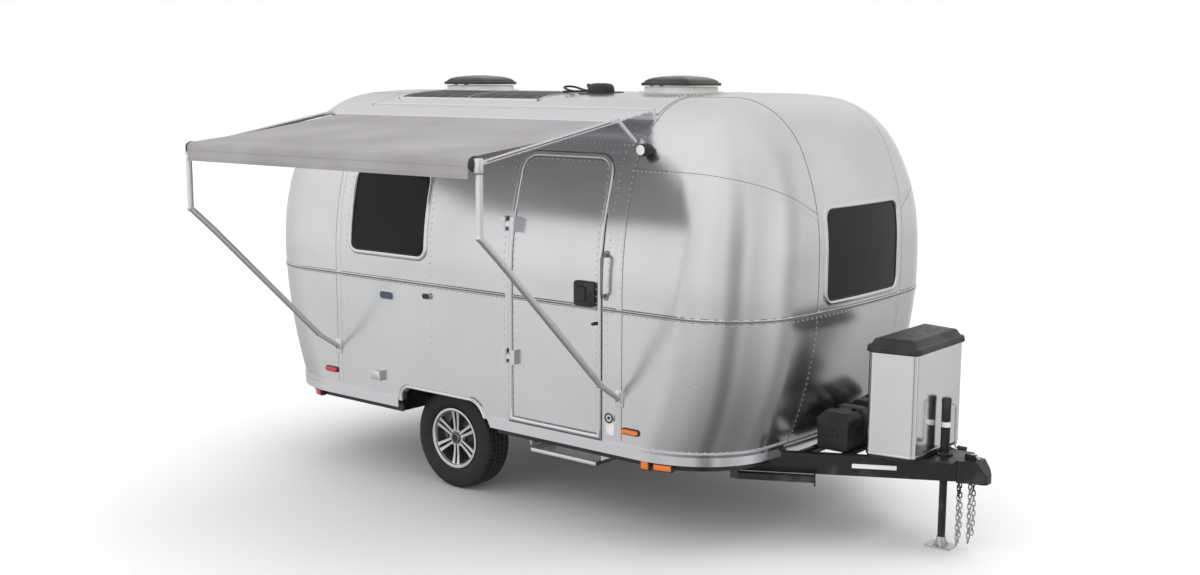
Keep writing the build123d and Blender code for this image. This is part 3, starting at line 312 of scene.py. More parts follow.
def along_side(level):
    """The length along the section at which a side wall reaches a level."""
    low, high = 0.0, SIDE_LONG + LEAN_LONG + SHOULDER_LONG
    for _ in range(40):
        mid = (low + high) / 2
        low, high = (mid, high) if section(mid)[0][1] < level else (low, mid)
    return low


def along_roof(y):
    """The length along the section at which the roof is y from the middle."""
    low, high = SIDE_LONG + LEAN_LONG, HALF_LONG
    for _ in range(40):
        mid = (low + high) / 2
        low, high = (mid, high) if section(mid)[0][0] > abs(y) else (low, mid)
    return low


def wrap(x, s):
    """Point and direction on the barrel, with s from the left foot over the roof to the right foot."""
    (y, level), (ny, nz) = section(min(s, 2 * HALF_LONG - s))
    sign = 1 if s <= HALF_LONG else -1
    return (x, sign * y, level), (0.0, sign * ny, nz)


print("half section", round(HALF_LONG), "mm")

# %% The end wall and the rounding


def end_wall(y, level, inset=0.0):
    """Point and direction on the front wall, or on a copy of it that lies inset behind it."""
    base = END_CROWN - inset
    slope = 0.0
    if level < TUCK_LEVEL:
        slope = (level - TUCK_LEVEL) / (TUCK_R - inset)
        base = END_CROWN - TUCK_R + math.sqrt(1 - slope * slope) * (TUCK_R - inset)
    elif level > END_LEAN_LEVEL:
        slope = (level - END_LEAN_LEVEL) / (END_LEAN_R - inset)
        base = END_CROWN - END_LEAN_R + math.sqrt(1 - slope * slope) * (END_LEAN_R - inset)
    turn = math.asin(y / base)
    flat = math.sqrt(1 - slope * slope)
    point = (END_X - END_CROWN + base * math.cos(turn), y, level)
    return point, (flat * math.cos(turn), flat * math.sin(turn), slope)


def rounding(s, part):
    """Point on the rounding: part 0 is where it leaves the barrel, 1 where it meets the end wall."""
    (y, level), (ny, nz) = section(min(s, 2 * HALF_LONG - s))
    sign = 1 if s <= HALF_LONG else -1
    side = np.array((0.0, sign * ny, nz))
    ball, facing = end_wall(sign * (y - NOSE_R * ny), level - NOSE_R * nz, NOSE_R)
    facing = np.array(facing)
    angle = math.acos(max(-1.0, min(1.0, float(side @ facing))))
    away = (math.sin((1 - part) * angle) * side + math.sin(part * angle) * facing) / math.sin(angle)
    return np.array(ball) + NOSE_R * away, away


def foot_of(part):
    """The section length at which a line of the rounding comes down to the foot of the wall."""
    low, high = -400.0, SIDE_LONG
    for _ in range(40):
        mid = (low + high) / 2
        low, high = (mid, high) if rounding(mid, part)[0][2] < BASE else (low, mid)
    return low


print("rounding's foot on the end wall", np.round(rounding(foot_of(1.0), 1.0)[0]))

# %% [markdown]
# ## From formula to panels
# A panel is a flat drawing of its outline with the openings in it, filled with triangles and then
# bent onto the formula. Every corner gets the formula's own direction as its shading normal, so
# the mirror finish shows no facets even where the triangles are long. The inner sheet is a copy
# set back by the wall, and a strip round each edge closes the two.

# %% Outline helpers


def rounded(cx, cy, wide, tall, radius, steps=7, corners=(1, 1, 1, 1)):
    """A rounded rectangle; corners says which are round, from the lower left one on."""
    points = []
    places = ((-1, -1, 180), (1, -1, 270), (1, 1, 0), (-1, 1, 90))
    for (sx, sy, start), is_round in zip(places, corners):
        r = radius if is_round else 0.5
        for k in range(steps + 1 if is_round else 1):
            turn = math.radians(start + 90 * k / steps) if is_round else math.radians(start + 45)
            middle = (cx + sx * (wide / 2 - r), cy + sy * (tall / 2 - r))
            points.append((middle[0] + r * math.cos(turn), middle[1] + r * math.sin(turn)))
    return points


def subdivided(loop, step):
    """The same closed loop with extra points, so that no side is longer than step."""
    result = []
    for first, last in zip(loop, loop[1:] + loop[:1]):
        count = max(1, math.ceil(math.dist(first, last) / step))
        result += [tuple(np.array(first) + (np.array(last) - first) * k / count) for k in range(count)]
    return result


def inside(points, loop):
    """Which of the points lie inside a closed loop."""
    px, py = np.asarray(points, float).T
    result = np.zeros(len(px), bool)
    loop = np.asarray(loop, float)
    for (ax, ay), (bx, by) in zip(loop, np.roll(loop, -1, axis=0)):
        crosses = (ay > py) != (by > py)
        with np.errstate(divide="ignore", invalid="ignore"):
            result ^= crosses & (px < (bx - ax) * (py - ay) / (by - ay) + ax)
    return result


def filled(outline, holes, inner_points):
    """Triangles that fill an outline and leave the holes open."""
    points, edges = [], []
    for loop in [outline, *holes]:
        first = len(points)
        points += [Vector(p) for p in loop]
        edges += [(first + k, first + (k + 1) % len(loop)) for k in range(len(loop))]
    free = np.asarray(inner_points, float)
    keep = inside(free, outline)
    for hole in holes:
        keep &= ~inside(free, hole)
    points += [Vector(p) for p in free[keep]]
    made = delaunay_2d_cdt(points, edges, [], 0, 1e-4)
    flat = np.array([tuple(p) for p in made[0]])
    faces = np.array([list(f) for f in made[2]])
    middles = flat[faces].mean(axis=1)
    keep = inside(middles, outline)
    for hole in holes:
        keep &= ~inside(middles, hole)
    faces = faces[keep]
    a, b, c = flat[faces[:, 0]], flat[faces[:, 1]], flat[faces[:, 2]]
    turn = (b[:, 0] - a[:, 0]) * (c[:, 1] - a[:, 1]) - (b[:, 1] - a[:, 1]) * (c[:, 0] - a[:, 0])
    faces[turn < 0] = faces[turn < 0][:, ::-1]
    return flat, faces


def mesh_object(name, points, normals, faces, finish):
    """A mesh from arrays, points in millimetres from the middle, with its own shading normals."""
    mesh = bpy.data.meshes.new(name)
    mesh.from_pydata(spots(points).tolist(), [], [list(map(int, f)) for f in faces])
    mesh.validate()
    for polygon in mesh.polygons:
        polygon.use_smooth = True
    if normals is not None:
        mesh.normals_split_custom_set_from_vertices([tuple(n) for n in normals])
    thing = bpy.data.objects.new(name, mesh)
    thing.data.materials.append(finish.material)
    bpy.context.collection.objects.link(thing)
    return thing


def thick_panel(name, points, normals, faces, finish, thick):
    """Outer sheet, inner sheet and the strip round every edge."""
    points, normals = np.asarray(points, float), np.asarray(normals, float)
    faces = [list(map(int, f)) for f in faces]
    count = len(points)
    sides = {}
    for face in faces:
        for a, b in zip(face, face[1:] + face[:1]):
            sides[(a, b)] = True
    rim = [(a, b) for a, b in sides if (b, a) not in sides]
    all_points = [points, points - thick * normals]
    all_normals = [normals, -normals]
    all_faces = faces + [[i + count for i in reversed(f)] for f in faces]
    strip_points, strip_normals = [], []
    for a, b in rim:
        first = 2 * count + len(strip_points)
        corners = [points[a], points[b], points[b] - thick * normals[b], points[a] - thick * normals[a]]
        out = np.cross(corners[3] - corners[0], corners[1] - corners[0])
        out = out / (np.linalg.norm(out) or 1)
        strip_points += corners
        strip_normals += [out] * 4
        all_faces.append([first, first + 3, first + 2, first + 1])
    if strip_points:
        all_points.append(np.array(strip_points))
        all_normals.append(np.array(strip_normals))
    return mesh_object(name, np.vstack(all_points), np.vstack(all_normals), all_faces, finish)


print("panel helpers ready")

# %% [markdown]
# ## The barrel
# The middle of the body is one bend of sheet from foot to foot. Its drawing has length along the
# body across, and length round the section up. The door, the windows, the wheel openings, the
# hatch and the two roof vents are cut out of it.

# %% Openings in the barrel
FRAME_WIDE, PANE_CORNER = 34.0, 62.0
WINDOWS = [
    # wall, centre along the wall, centre level, pane width, pane height
    ("right", -780, 1928, 745, 565),
    ("left", -780, 1928, 745, 565),
    ("left", 620, 1928, 745, 565),
    ("front", 0, 1801, 894, 558),
    ("rear", 0, 1801, 894, 558),
]
DOOR_REAR, DOOR_FRONT, DOOR_LOW, DOOR_TOP, DOOR_CORNER = 385, 1165, 632, 2395, 130
VENTS = (860, -1040)
VENT_HALF = 178


def onto_side(loop, wall):
    """A loop drawn in station and level, as a loop on the barrel's flat drawing."""
    result = []
    for x, level in subdivided(loop, 60):
        s = along_side(level)
        result.append((x, s if wall == "left" else 2 * HALF_LONG - s))
    return result


def arch_loop(grow=0.0):
    """The wheel opening: a tight curve at the rear, a long one ahead, a foot that slopes forward."""
    points = [(-640 - grow, 607)]
    for k in range(9):
        turn = math.radians(180 - 90 * k / 8)
        r = 75 + grow
        points.append((-565 + r * math.cos(turn), 630 + r * math.sin(turn)))
    for k in range(9):
        turn = math.radians(90 - 60 * k / 8)
        r = 130 + grow
        points.append((20 + r * math.cos(turn), 575 + r * math.sin(turn)))
    points.append((152 + grow * 1.15, 607))
    return points


barrel_holes = []
for wall, x, level, wide, tall in WINDOWS:
    if wall in ("left", "right"):
        loop = rounded(x, level, wide + FRAME_WIDE, tall + FRAME_WIDE, PANE_CORNER + FRAME_WIDE / 2)
        barrel_holes.append(onto_side(loop, wall))


def door_loop(inset, steps):
    """The door's outline at an inset, square at the foot and round at the head."""
    wide, tall = DOOR_FRONT - DOOR_REAR - 2 * inset, DOOR_TOP - DOOR_LOW - 2 * inset
    middle = ((DOOR_REAR + DOOR_FRONT) / 2, (DOOR_LOW + DOOR_TOP) / 2)
    return rounded(*middle, wide, tall, DOOR_CORNER - inset, steps, (0, 0, 1, 1))


barrel_holes.append(onto_side(door_loop(0, 10), "right"))
barrel_holes.append(onto_side(rounded(1010, 940, 520, 360, 30), "left"))
for x in VENTS:
    low, high = along_roof(VENT_HALF), 2 * HALF_LONG - along_roof(VENT_HALF)
    barrel_holes.append([(x - VENT_HALF, low), (x + VENT_HALF, low), (x + VENT_HALF, high),
                         (x - VENT_HALF, high)])
print("openings in the barrel:", len(barrel_holes))

# %% The barrel's sheet
arch = arch_loop()
arch_s = [(x, max(0.0, level - BASE)) for x, level in arch]
left_foot = [(x, s) for x, s in arch_s if s > 0 or x in (arch_s[0][0], arch_s[-1][0])]
right_foot = [(x, 2 * HALF_LONG - s) for x, s in left_foot]
outline = [(-BARREL, 0.0), *left_foot, (BARREL, 0.0)]
steps_round = list(np.linspace(0, SIDE_LONG, 8))[1:] + list(SIDE_LONG + np.linspace(0, LEAN_LONG, 16))[1:]
steps_round += list(SIDE_LONG + LEAN_LONG + np.linspace(0, SHOULDER_LONG, 34))[1:]
steps_round += list(HALF_LONG - CROWN_LONG + np.linspace(0, CROWN_LONG, 6))[1:]
steps_round += [2 * HALF_LONG - s for s in reversed(steps_round[:-1])]
outline += [(BARREL, s) for s in steps_round]
outline += [(BARREL, 2 * HALF_LONG), *reversed(right_foot), (-BARREL, 2 * HALF_LONG)]
outline += [(-BARREL, s) for s in reversed(steps_round)]
grid = [(x, s) for x in np.linspace(-BARREL, BARREL, 27)[1:-1] for s in steps_round]
flat, triangles = filled(outline, barrel_holes, grid)
bent = [wrap(x, min(max(s, 0), 2 * HALF_LONG)) for x, s in flat]
barrel = thick_panel("barrel_sheet", [b[0] for b in bent], [b[1] for b in bent], triangles[:, ::-1], skin,
                     WALL)
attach(barrel, "caravan")
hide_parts("shell_centre")
print("barrel triangles:", len(triangles))

# %% [markdown]
# ## The end caps
# Each cap is a strip of barrel, the rounding, and the end wall inside it. The strip and the
# rounding are one grid of rows round the section, and the end wall is a flat drawing in width and
# level, filled like the barrel and pushed out onto the formula. The rear cap is the front's mirror.

# %% Cap panels


def cap_parts():
    rows = 160
    ease = [k / rows for k in range(rows + 1)]
    strip = [(0.0, k / 5) for k in range(5)]
    bend = [(k / 16, 1.0) for k in range(17)]
    points, normals, faces = [], [], []
    columns = strip + bend
    for part, reach in columns:
        foot = foot_of(part)
        for k in ease:
            s = foot + (2 * (HALF_LONG - foot)) * k
            place, away = rounding(s, part)
            if reach < 1:
                place = np.array((BARREL + (place[0] - BARREL) * reach, place[1], place[2]))
            points.append(place)
            normals.append(away)
    wide = rows + 1
    for c in range(len(columns) - 1):
        for r in range(rows):
            a = c * wide + r
            faces.append([a, a + 1, a + wide + 1, a + wide])
    edge = points[-wide:]
    return np.array(points), np.array(normals), faces, [(p[1], p[2]) for p in edge]


points, normals, faces, rim_loop = cap_parts()
window = rounded(0, 1801, 894 + FRAME_WIDE, 558 + FRAME_WIDE, PANE_CORNER + FRAME_WIDE / 2, 9)
across = np.arange(-1200, 1201, 50)
upward = np.arange(620, 2700, 45)
lattice = [(y, z) for y in across for z in upward]
wall_flat, wall_faces = filled(rim_loop, [subdivided(window, 60)], lattice)
wall_bent = [end_wall(y, z) for y, z in wall_flat]


def whole_cap(sign, name, node):
    first = len(points)
    both = np.vstack([points, [b[0] for b in wall_bent]]) * (sign, 1, 1)
    ways = np.vstack([normals, [b[1] for b in wall_bent]]) * (sign, 1, 1)
    every = [list(f) for f in faces] + [[int(i) + first for i in f] for f in wall_faces]
    if sign < 0:
        every = [f[::-1] for f in every]
    cap = thick_panel(name, both, ways, every, skin, WALL)
    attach(cap, "caravan")
    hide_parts(node)


whole_cap(1, "front_cap_sheet", "shell_front")
whole_cap(-1, "rear_cap_sheet", "shell_rear")
print("cap corners", len(points), "wall triangles", len(wall_faces))

# %% [markdown]
# ## The skin as something to touch
# Rivets, mouldings and lamps sit on the skin, so each needs the skin's place and direction under
# it. An uncut copy of the body goes into a search tree. `touch` sends a straight line outwards
# from inside the body and returns where it meets the skin, with the direction blended smoothly.

# %% A search tree of the whole skin
uncut = [wrap(x, s) for x in np.linspace(-BARREL, BARREL, 14) for s in [0.0, *steps_round, 2 * HALF_LONG]]
rows_round = len(steps_round) + 2
skin_points = [np.array([u[0] for u in uncut])]
skin_normals = [np.array([u[1] for u in uncut])]
skin_faces = []
for c in range(13):
    for r in range(rows_round - 1):
        a = c * rows_round + r
        skin_faces += [(a, a + 1, a + rows_round + 1), (a, a + rows_round + 1, a + rows_round)]
end_flat, end_faces = filled(rim_loop, [], lattice)
end_bent = [end_wall(y, z) for y, z in end_flat]
for sign in (1, -1):
    first = sum(len(p) for p in skin_points)
    skin_points.append(points * (sign, 1, 1))
    skin_normals.append(normals * (sign, 1, 1))
    skin_faces += [tuple(first + i for i in f[:3]) for f in faces]
    skin_faces += [(first + f[0], first + f[2], first + f[3]) for f in faces]
    first += len(points)
    skin_points.append(np.array([b[0] for b in end_bent]) * (sign, 1, 1))
    skin_normals.append(np.array([b[1] for b in end_bent]) * (sign, 1, 1))
    skin_faces += [tuple(int(i) + first for i in f) for f in end_faces]
skin_points, skin_normals = np.vstack(skin_points), np.vstack(skin_normals)
search = BVHTree.FromPolygons(skin_points.tolist(), skin_faces)


def touch(origin, direction):
    """Place and direction of the skin where a line from inside meets it, in millimetres."""
    hit, _, index, _ = search.ray_cast(Vector(origin), Vector(direction).normalized())
    if hit is None:
        return None
    corner = skin_faces[index]
    a, b, c = skin_points[list(corner)]
    whole = np.linalg.norm(np.cross(b - a, c - a))
    place = np.array(hit)
    shares = [np.linalg.norm(np.cross(q - place, r - place)) / whole for q, r in ((b, c), (c, a), (a, b))]
    way = sum(share * skin_normals[i] for share, i in zip(shares, corner))
    return place, way / np.linalg.norm(way)


def on_side(x, level, side):
    """The skin at a station and level of the right (-1) or left (1) flank."""
    return touch((x, 0, level), (0, side, 0))


def round_body(level, step=4.0):
    """Places right round the body at one level, from the right flank's middle through the front."""
    ways = [((x, 0, level), (0, -1, 0)) for x in np.arange(0, 1300, 50)]
    ways += [((1300, 0, level), (math.cos(a), math.sin(a), 0)) for a in np.radians(np.arange(-90, 90, step))]
    ways += [((x, 0, level), (0, 1, 0)) for x in np.arange(1300, -1300, -50)]
    ways += [((-1300, 0, level), (math.cos(a), math.sin(a), 0)) for a in np.radians(np.arange(90, 270, step))]
    ways += [((x, 0, level), (0, -1, 0)) for x in np.arange(-1300, 0, 50)]
    return ways


print("skin in the tree:", len(skin_faces), "triangles")

# %% [markdown]
# ## Small solids as arrays
# Most fittings are boxes with rounded edges, turned shapes, or an outline carried along a path.
# Each helper returns points and faces, and `make` joins any number of them into one named piece.
# Edges sharper than an angle stay sharp, all others shade smoothly.


def block(at, size, bevel=2.0, turn=(0, 0, 0)):
    """A box with rounded edges: middle, lengths, rounding, and turns in degrees."""
    maker = bmesh.new()
    bmesh.ops.create_cube(maker, size=1.0)
    bmesh.ops.scale(maker, vec=size, verts=maker.verts)
    if bevel:
        bmesh.ops.bevel(maker, geom=maker.edges[:], offset=bevel, segments=2, profile=0.6, affect="EDGES")
    spin = Matrix.Identity(3)
    for axis, angle in zip("XYZ", turn):
        spin = Matrix.Rotation(math.radians(angle), 3, axis) @ spin
    points = [tuple(spin @ v.co + Vector(at)) for v in maker.verts]
    maker.verts.index_update()
    faces = [[v.index for v in f.verts] for f in maker.faces]
    maker.free()
    return points, faces


def loft(loops, ends=True, ring=False):
    """Skin over loops that have the same number of points; ring joins the last to the first."""
    count = len(loops[0])
    points = [tuple(p) for loop in loops for p in loop]
    faces = []
    for k in range(len(loops) if ring else len(loops) - 1):
        a, b = k * count, (k + 1) % len(loops) * count
        faces += [[a + i, a + (i + 1) % count, b + (i + 1) % count, b + i] for i in range(count)]
    if ends and not ring:
        faces += [list(range(count))[::-1], list(range(len(points) - count, len(points)))]
    return points, faces


def lathe(profile, centre, axis="y", steps=48, closed=False, sign=1):
    """A profile of (distance along the axis, radius) turned about it."""
    loops = []
    for k in range(steps):
        turn = 2 * math.pi * k / steps
        c, s = math.cos(turn), math.sin(turn)
        if axis == "x":
            offsets = [(sign * t, r * c, r * s) for t, r in profile]
        elif axis == "y":
            offsets = [(r * c, sign * t, r * s) for t, r in profile]
        else:
            offsets = [(r * c, r * s, sign * t) for t, r in profile]
        loops.append([tuple(a + b for a, b in zip(centre, offset)) for offset in offsets])
    count = len(profile)
    points = [p for loop in loops for p in loop]
    faces = []
    for k in range(steps):
        a, b = k * count, (k + 1) % steps * count
        for i in range(count if closed else count - 1):
            j = (i + 1) % count
            faces.append([a + i, a + j, b + j, b + i])
    if not closed:
        faces.append([k * count for k in range(steps)])
        faces.append([k * count + count - 1 for k in range(steps)])
    return points, faces


def softened(path, bend, steps=5):
    """The same path with its corners drawn as curves that start `bend` before each corner."""
    path = [np.array(p, float) for p in path]
    result = [path[0]]
    for before, corner, after in zip(path, path[1:], path[2:]):
        start = corner + (before - corner) * min(bend / np.linalg.norm(before - corner), 0.5)
        end = corner + (after - corner) * min(bend / np.linalg.norm(after - corner), 0.5)
        result += [start * (1 - t) ** 2 + 2 * corner * t * (1 - t) + end * t * t
                   for t in np.linspace(0, 1, steps)]
    return result + [path[-1]]


def sweep(path, outline, upright=(0, 0, 1), ring=False, scale=None):
    """An outline of (across, up) points carried along a path."""
    path = [np.array(p, float) for p in path]
    loops = []
    for k, place in enumerate(path):
        back = path[k - 1] if ring or k else path[k]
        front = path[(k + 1) % len(path)] if ring or k < len(path) - 1 else path[k]
        ahead_way = (front - back) / np.linalg.norm(front - back)
        across = np.cross(ahead_way, upright)
        across = across / np.linalg.norm(across)
        over = np.cross(across, ahead_way)
        size = 1.0 if scale is None else scale[k]
        loops.append([place + size * (a * across + b * over) for a, b in outline])
    return loft(loops, ring=ring)


def disc(radius, sides=12):
    turns = [2 * math.pi * k / sides for k in range(sides)]
    return [(radius * math.cos(turn), radius * math.sin(turn)) for turn in turns]


def slab(wide, tall, corner=2.0):
    return rounded(0, 0, wide, tall, corner, 2)


def stack(layers):
    """Upright body from (loop, level) pairs."""
    return loft([[(x, y, level) for x, y in loop] for loop, level in layers])


def tower(cx, cy, layers, steps=4):
    """Upright body from rounded rectangles, given as (length, width, corner, level)."""
    return stack([(rounded(cx, cy, *plan, steps), level) for *plan, level in layers])


def make(name, pieces, finish, body="caravan", node=None, angle=32):
    """Join arrays to one piece that rides on a body and may stand for a construction node."""
    every, joined = [], []
    for part_points, part_faces in pieces:
        first = len(every)
        every += [tuple(p) for p in part_points]
        joined += [[int(i) + first for i in f] for f in part_faces]
    thing = mesh_object(name, every, None, joined, finish)
    tidy = bmesh.new()
    tidy.from_mesh(thing.data)
    bmesh.ops.remove_doubles(tidy, verts=tidy.verts, dist=1e-6)
    bmesh.ops.recalc_face_normals(tidy, faces=tidy.faces)
    tidy.to_mesh(thing.data)
    tidy.free()
    thing.data.set_sharp_from_angle(angle=math.radians(angle))
    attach(thing, body)
    if node:
        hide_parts(node)
    return thing


def dome(place, way, radius=4.2, high=1.7, sides=8):
    """A rivet's low head."""
    way = np.array(way) / np.linalg.norm(way)
    across = np.cross(way, (0.3, 0.5, 0.81))
    across = across / np.linalg.norm(across)
    over = np.cross(way, across)
    spokes = [across * a + over * b for a, b in disc(1, sides)]
    head = [place + radius * s - 0.3 * way for s in spokes]
    head += [place + 0.72 * radius * s + 0.72 * high * way for s in spokes]
    head.append(place + high * way)
    skirt = [[k, (k + 1) % sides, sides + (k + 1) % sides, sides + k] for k in range(sides)]
    return head, skirt + [[sides + k, sides + (k + 1) % sides, 2 * sides] for k in range(sides)]


def rivets(name, places, body="caravan", radius=5.6, high=2.6):
    return make(name, [dome(p, n, radius, high) for p, n in places], rivet_metal, body, angle=60)


print("shape helpers ready")

# %% [markdown]
# ## Seams and rivets
# The barrel's sheet runs round the ribs and is lapped at each end by the cap. A narrow lap strip
# shows the second sheet's edge, and a row of rivets runs along it. The caps are made of gores: an
# upper seam starts at the barrel and falls to the middle panel, whose two upright seams run from
# the roof down past the window.

# %% Seam paths
SEAM_Y, BEAD_Y = 510.0, 846


def free_of_openings(place, grow=14.0):
    """Whether no opening or fitting lies under this place."""
    x, y, level = place
    if abs(x) < BARREL + 40:
        # The door and the awning's rail
        if y < 0 and DOOR_REAR - 26 - grow < x < DOOR_FRONT + 8 + grow and level < DOOR_TOP + 6 + grow:
            return False
        if y < -700 and abs(x) < 1300 and 2560 < level < 2720:
            return False
        for wall, cx, level_mid, wide, tall in WINDOWS:
            if (wall == "right" and y < 0) or (wall == "left" and y > 0):
                if abs(x - cx) < wide / 2 + 34 + grow and abs(level - level_mid) < tall / 2 + 34 + grow:
                    return False
        # The wheel openings and the hatch
        if -680 - grow < x < 235 + grow and level < 745 + grow:
            return False
        if y > 0 and abs(x - 1010) < 262 + grow and abs(level - 940) < 182 + grow:
            return False
        # The vents, the solar panel and the cable entry
        if abs(y) < 240 and level > 2500 and min(abs(x - v) for v in VENTS) < 240:
            return False
        if -1210 < x < 190 and -710 < y < -220 and level > 2600:
            return False
        if 300 < x < 550 and -450 < y < -205 and level > 2600:
            return False
    if abs(level - BELT_LEVEL) < 12 + grow / 2 or level < 634:
        return False
    return True


def across_barrel(x, step=42.0):
    count = int(2 * HALF_LONG / step)
    found = [wrap(x, s) for s in np.linspace(40, 2 * HALF_LONG - 40, count)]
    return [(np.array(p), np.array(n)) for p, n in found]


def down_end(sign, y, step=1.0):
    """The middle panel's seam, from the barrel's roof to the foot of the end wall."""
    angles = np.radians(np.arange(88, -62, -step))
    found = [touch((sign * 1290, y, 1650), (sign * math.cos(a), 0, math.sin(a))) for a in angles]
    return [f for f in found if f is not None and abs(f[0][0]) > 1318 and f[0][2] > 626]


def upper_seam(sign, side):
    """From the barrel's seam round the shoulder to the middle panel, falling as it goes."""
    found = []
    for t in np.linspace(0, 1, 70):
        azimuth = math.radians(90 - 64 * t)
        level = 2302 - 22 * t - 245 * t ** 2.6
        way = (sign * math.sin(math.pi / 2 - azimuth), side * math.sin(azimuth), 0.27 - 0.02 * t)
        hit = touch((sign * BARREL, 0, level - 300), way)
        if hit is not None and abs(hit[0][1]) > SEAM_Y + 4:
            found.append(hit)
    return found


def evenly(track, step, start=0.0):
    """Places along a track at equal steps."""
    places = np.array([t[0] for t in track])
    ways = np.array([t[1] for t in track])
    run = np.concatenate([[0], np.cumsum(np.linalg.norm(np.diff(places, axis=0), axis=1))])
    wanted = np.arange(start, run[-1], step)
    axes = [np.interp(wanted, run, places[:, k]) for k in range(3)]
    turns = [np.interp(wanted, run, ways[:, k]) for k in range(3)]
    return [(np.array(p), np.array(n)) for p, n in zip(zip(*axes), zip(*turns))]


def shifted(track, sideways):
    """The same track moved sideways along the skin."""
    moved = []
    for k, (place, way) in enumerate(track):
        back, front = track[max(k - 1, 0)][0], track[min(k + 1, len(track) - 1)][0]
        across = np.cross(way, front - back)
        moved.append((place + sideways * across / np.linalg.norm(across), way))
    return moved


def lap(track, wide, thick=0.9):
    """A thin strip of sheet along a track."""
    loops = []
    for (left, way), (right_place, _) in zip(shifted(track, wide / 2), shifted(track, -wide / 2)):
        loops.append([left - 0.6 * way, left + thick * way, right_place + thick * way,
                      right_place - 0.6 * way])
    return loft(loops)


def edge(track, sideways, thick=0.9):
    """A fine dark line of painted shade where a lap strip ends."""
    return lap(shifted(track, sideways), 3.6, thick + 0.3)


# %% Seams on the body
strips, heads, shades = [], [], []
for sign in (1, -1):
    ring = across_barrel(sign * BARREL, 60)
    strips.append(lap(ring, 46, 1.1))
    shades.append(edge(ring, sign * 23, 1.1))
    heads += [p for p in evenly(shifted(ring, sign * 12), 38) if free_of_openings(p[0], 4)]
    for side in (1, -1):
        track = down_end(sign, side * SEAM_Y)
        strips.append(lap(track, 40))
        shades.append(edge(track, sign * side * 20))
        heads += [p for p in evenly(shifted(track, sign * side * 9), 36) if free_of_openings(p[0])]
        track = upper_seam(sign, side)
        strips.append(lap(track, 36))
        shades.append(edge(track, 18))
        heads += [p for p in evenly(shifted(track, 8), 34) if free_of_openings(p[0])]
for x in (-1205, -345, 345, 1212):
    heads += [p for p in evenly(across_barrel(x), 46) if free_of_openings(p[0])]
for level in (BELT_LEVEL - 24, 640):
    track = [touch(*way) for way in round_body(level, 3.0)]
    heads += [p for p in evenly(track, 46) if free_of_openings(p[0], 10)]
for y in (-760, 760, -250, 250):
    roof = [touch((x, y, 2000), (0, 0, 1)) for x in np.arange(-1280, 1281, 40)]
    heads += [p for p in evenly(roof, 50) if free_of_openings(p[0], 0)]
over_door = [wrap(x, 2 * HALF_LONG - along_side(2442)) for x in np.arange(-1270, 1271, 20)]
over_door = [(np.array(p), np.array(n)) for p, n in over_door]
heads += evenly(shifted(over_door, 17), 34)
bead_ends = [2 * HALF_LONG - along_roof(y) for y in (560, BEAD_Y)]
bead = [wrap(1296, s) for s in np.linspace(*bead_ends, 14)]
strips.append(sweep([np.array(p) + 4 * np.array(n) for p, n in bead], disc(6, 10), (1, 0, 0)))
bead = [touch((x, -BEAD_Y, 2000), (0, 0, 1))[0] + (0, 0, 3) for x in np.linspace(-1294, 1296, 30)]
strips.append(sweep(bead, disc(5, 10)))
make("seam_laps", strips, skin)
# A dark finish for lines of painted shade along the seams, the belt and round the door.
shade = Finish("seam shade", (0.17, 0.17, 0.175), 0.6, 0.3)
shade.mottle(30.0, 0.3, 0.45)
make("seam_shades", shades, shade)
rivets("body_rivets", heads)
print("rivets:", len(heads))

# %% [markdown]
# ## Mouldings
# The belt moulding is one extruded strip that goes right round below the windows, with a groove
# along its middle. It stops at the door, and the door carries its own stretch so that both line up.
# Fine dark lines of painted shade lie along its edges and in its groove.

# %% Belt
BELT_PROFILE = [(-12, -1), (-12, 6), (-9.5, 9), (-6, 9), (-4, 4.5), (4, 4.5), (6, 9), (9.5, 9), (12, 6),
                (12, -1)]


def moulding(ways, profile, level, ring=False):
    """A strip round the body from (origin, direction) pairs taken at each level of its profile."""
    loops = []
    for origin, direction in ways:
        loop = []
        for v, h in profile:
            place, way = touch((origin[0], origin[1], level + v), direction)
            loop.append(place + h * way)
        loops.append(loop)
    return loft(loops, ring=ring)


belt_ways = [((1171, 0, 0), (0, -1, 0))]
belt_ways += [w for w in round_body(BELT_LEVEL, 3.0) if not (w[1] == (0, -1, 0) and -1 < w[0][0] < 1172)]
belt_ways += [((x, 0, 0), (0, -1, 0)) for x in (0, 60, 120, 180, 240, 300, 348)]
make("belt_strip", [moulding(belt_ways, BELT_PROFILE, BELT_LEVEL)], bright, node="belt_moulding")
# Lines of painted shade along the belt's two edges and down its groove
BELT_EDGES = [[(-15.5, -1), (-15.5, 0.8), (-11.6, 0.8), (-11.6, -1)],
              [(11.6, -1), (11.6, 0.8), (15.5, 0.8), (15.5, -1)],
              [(-3.4, 4), (-3.4, 4.9), (3.4, 4.9), (3.4, 4)]]
make("belt_shades", [moulding(belt_ways, line, BELT_LEVEL) for line in BELT_EDGES], shade)
door_belt_ways = [((x, 0, 0), (0, -1, 0)) for x in np.linspace(421, 1129, 12)]
make("door_belt_shades", [moulding(door_belt_ways, line, BELT_LEVEL) for line in BELT_EDGES], shade, "door")
make("door_belt_strip", [moulding(door_belt_ways, BELT_PROFILE, BELT_LEVEL)], bright, "door")
print("places round the belt:", len(belt_ways))

# %% [markdown]
# ## Windows
# A window is a dark pane in a rolled aluminium frame with wide round corners. The frame is one
# profile carried round the pane, so its highlight runs round it unbroken, as on the real one.

# %% Frames


def on_wall(wall, u, v, high=0.0):
    """A place on a wall's skin at u along it and level v, raised by a height."""
    if wall in ("front", "rear"):
        place, way = end_wall(u, v)
        sign = 1 if wall == "front" else -1
        return (np.array(place) + high * np.array(way)) * (sign, 1, 1)
    s = along_side(v)
    place, way = wrap(u, s if wall == "left" else 2 * HALF_LONG - s)
    return np.array(place) + high * np.array(way)


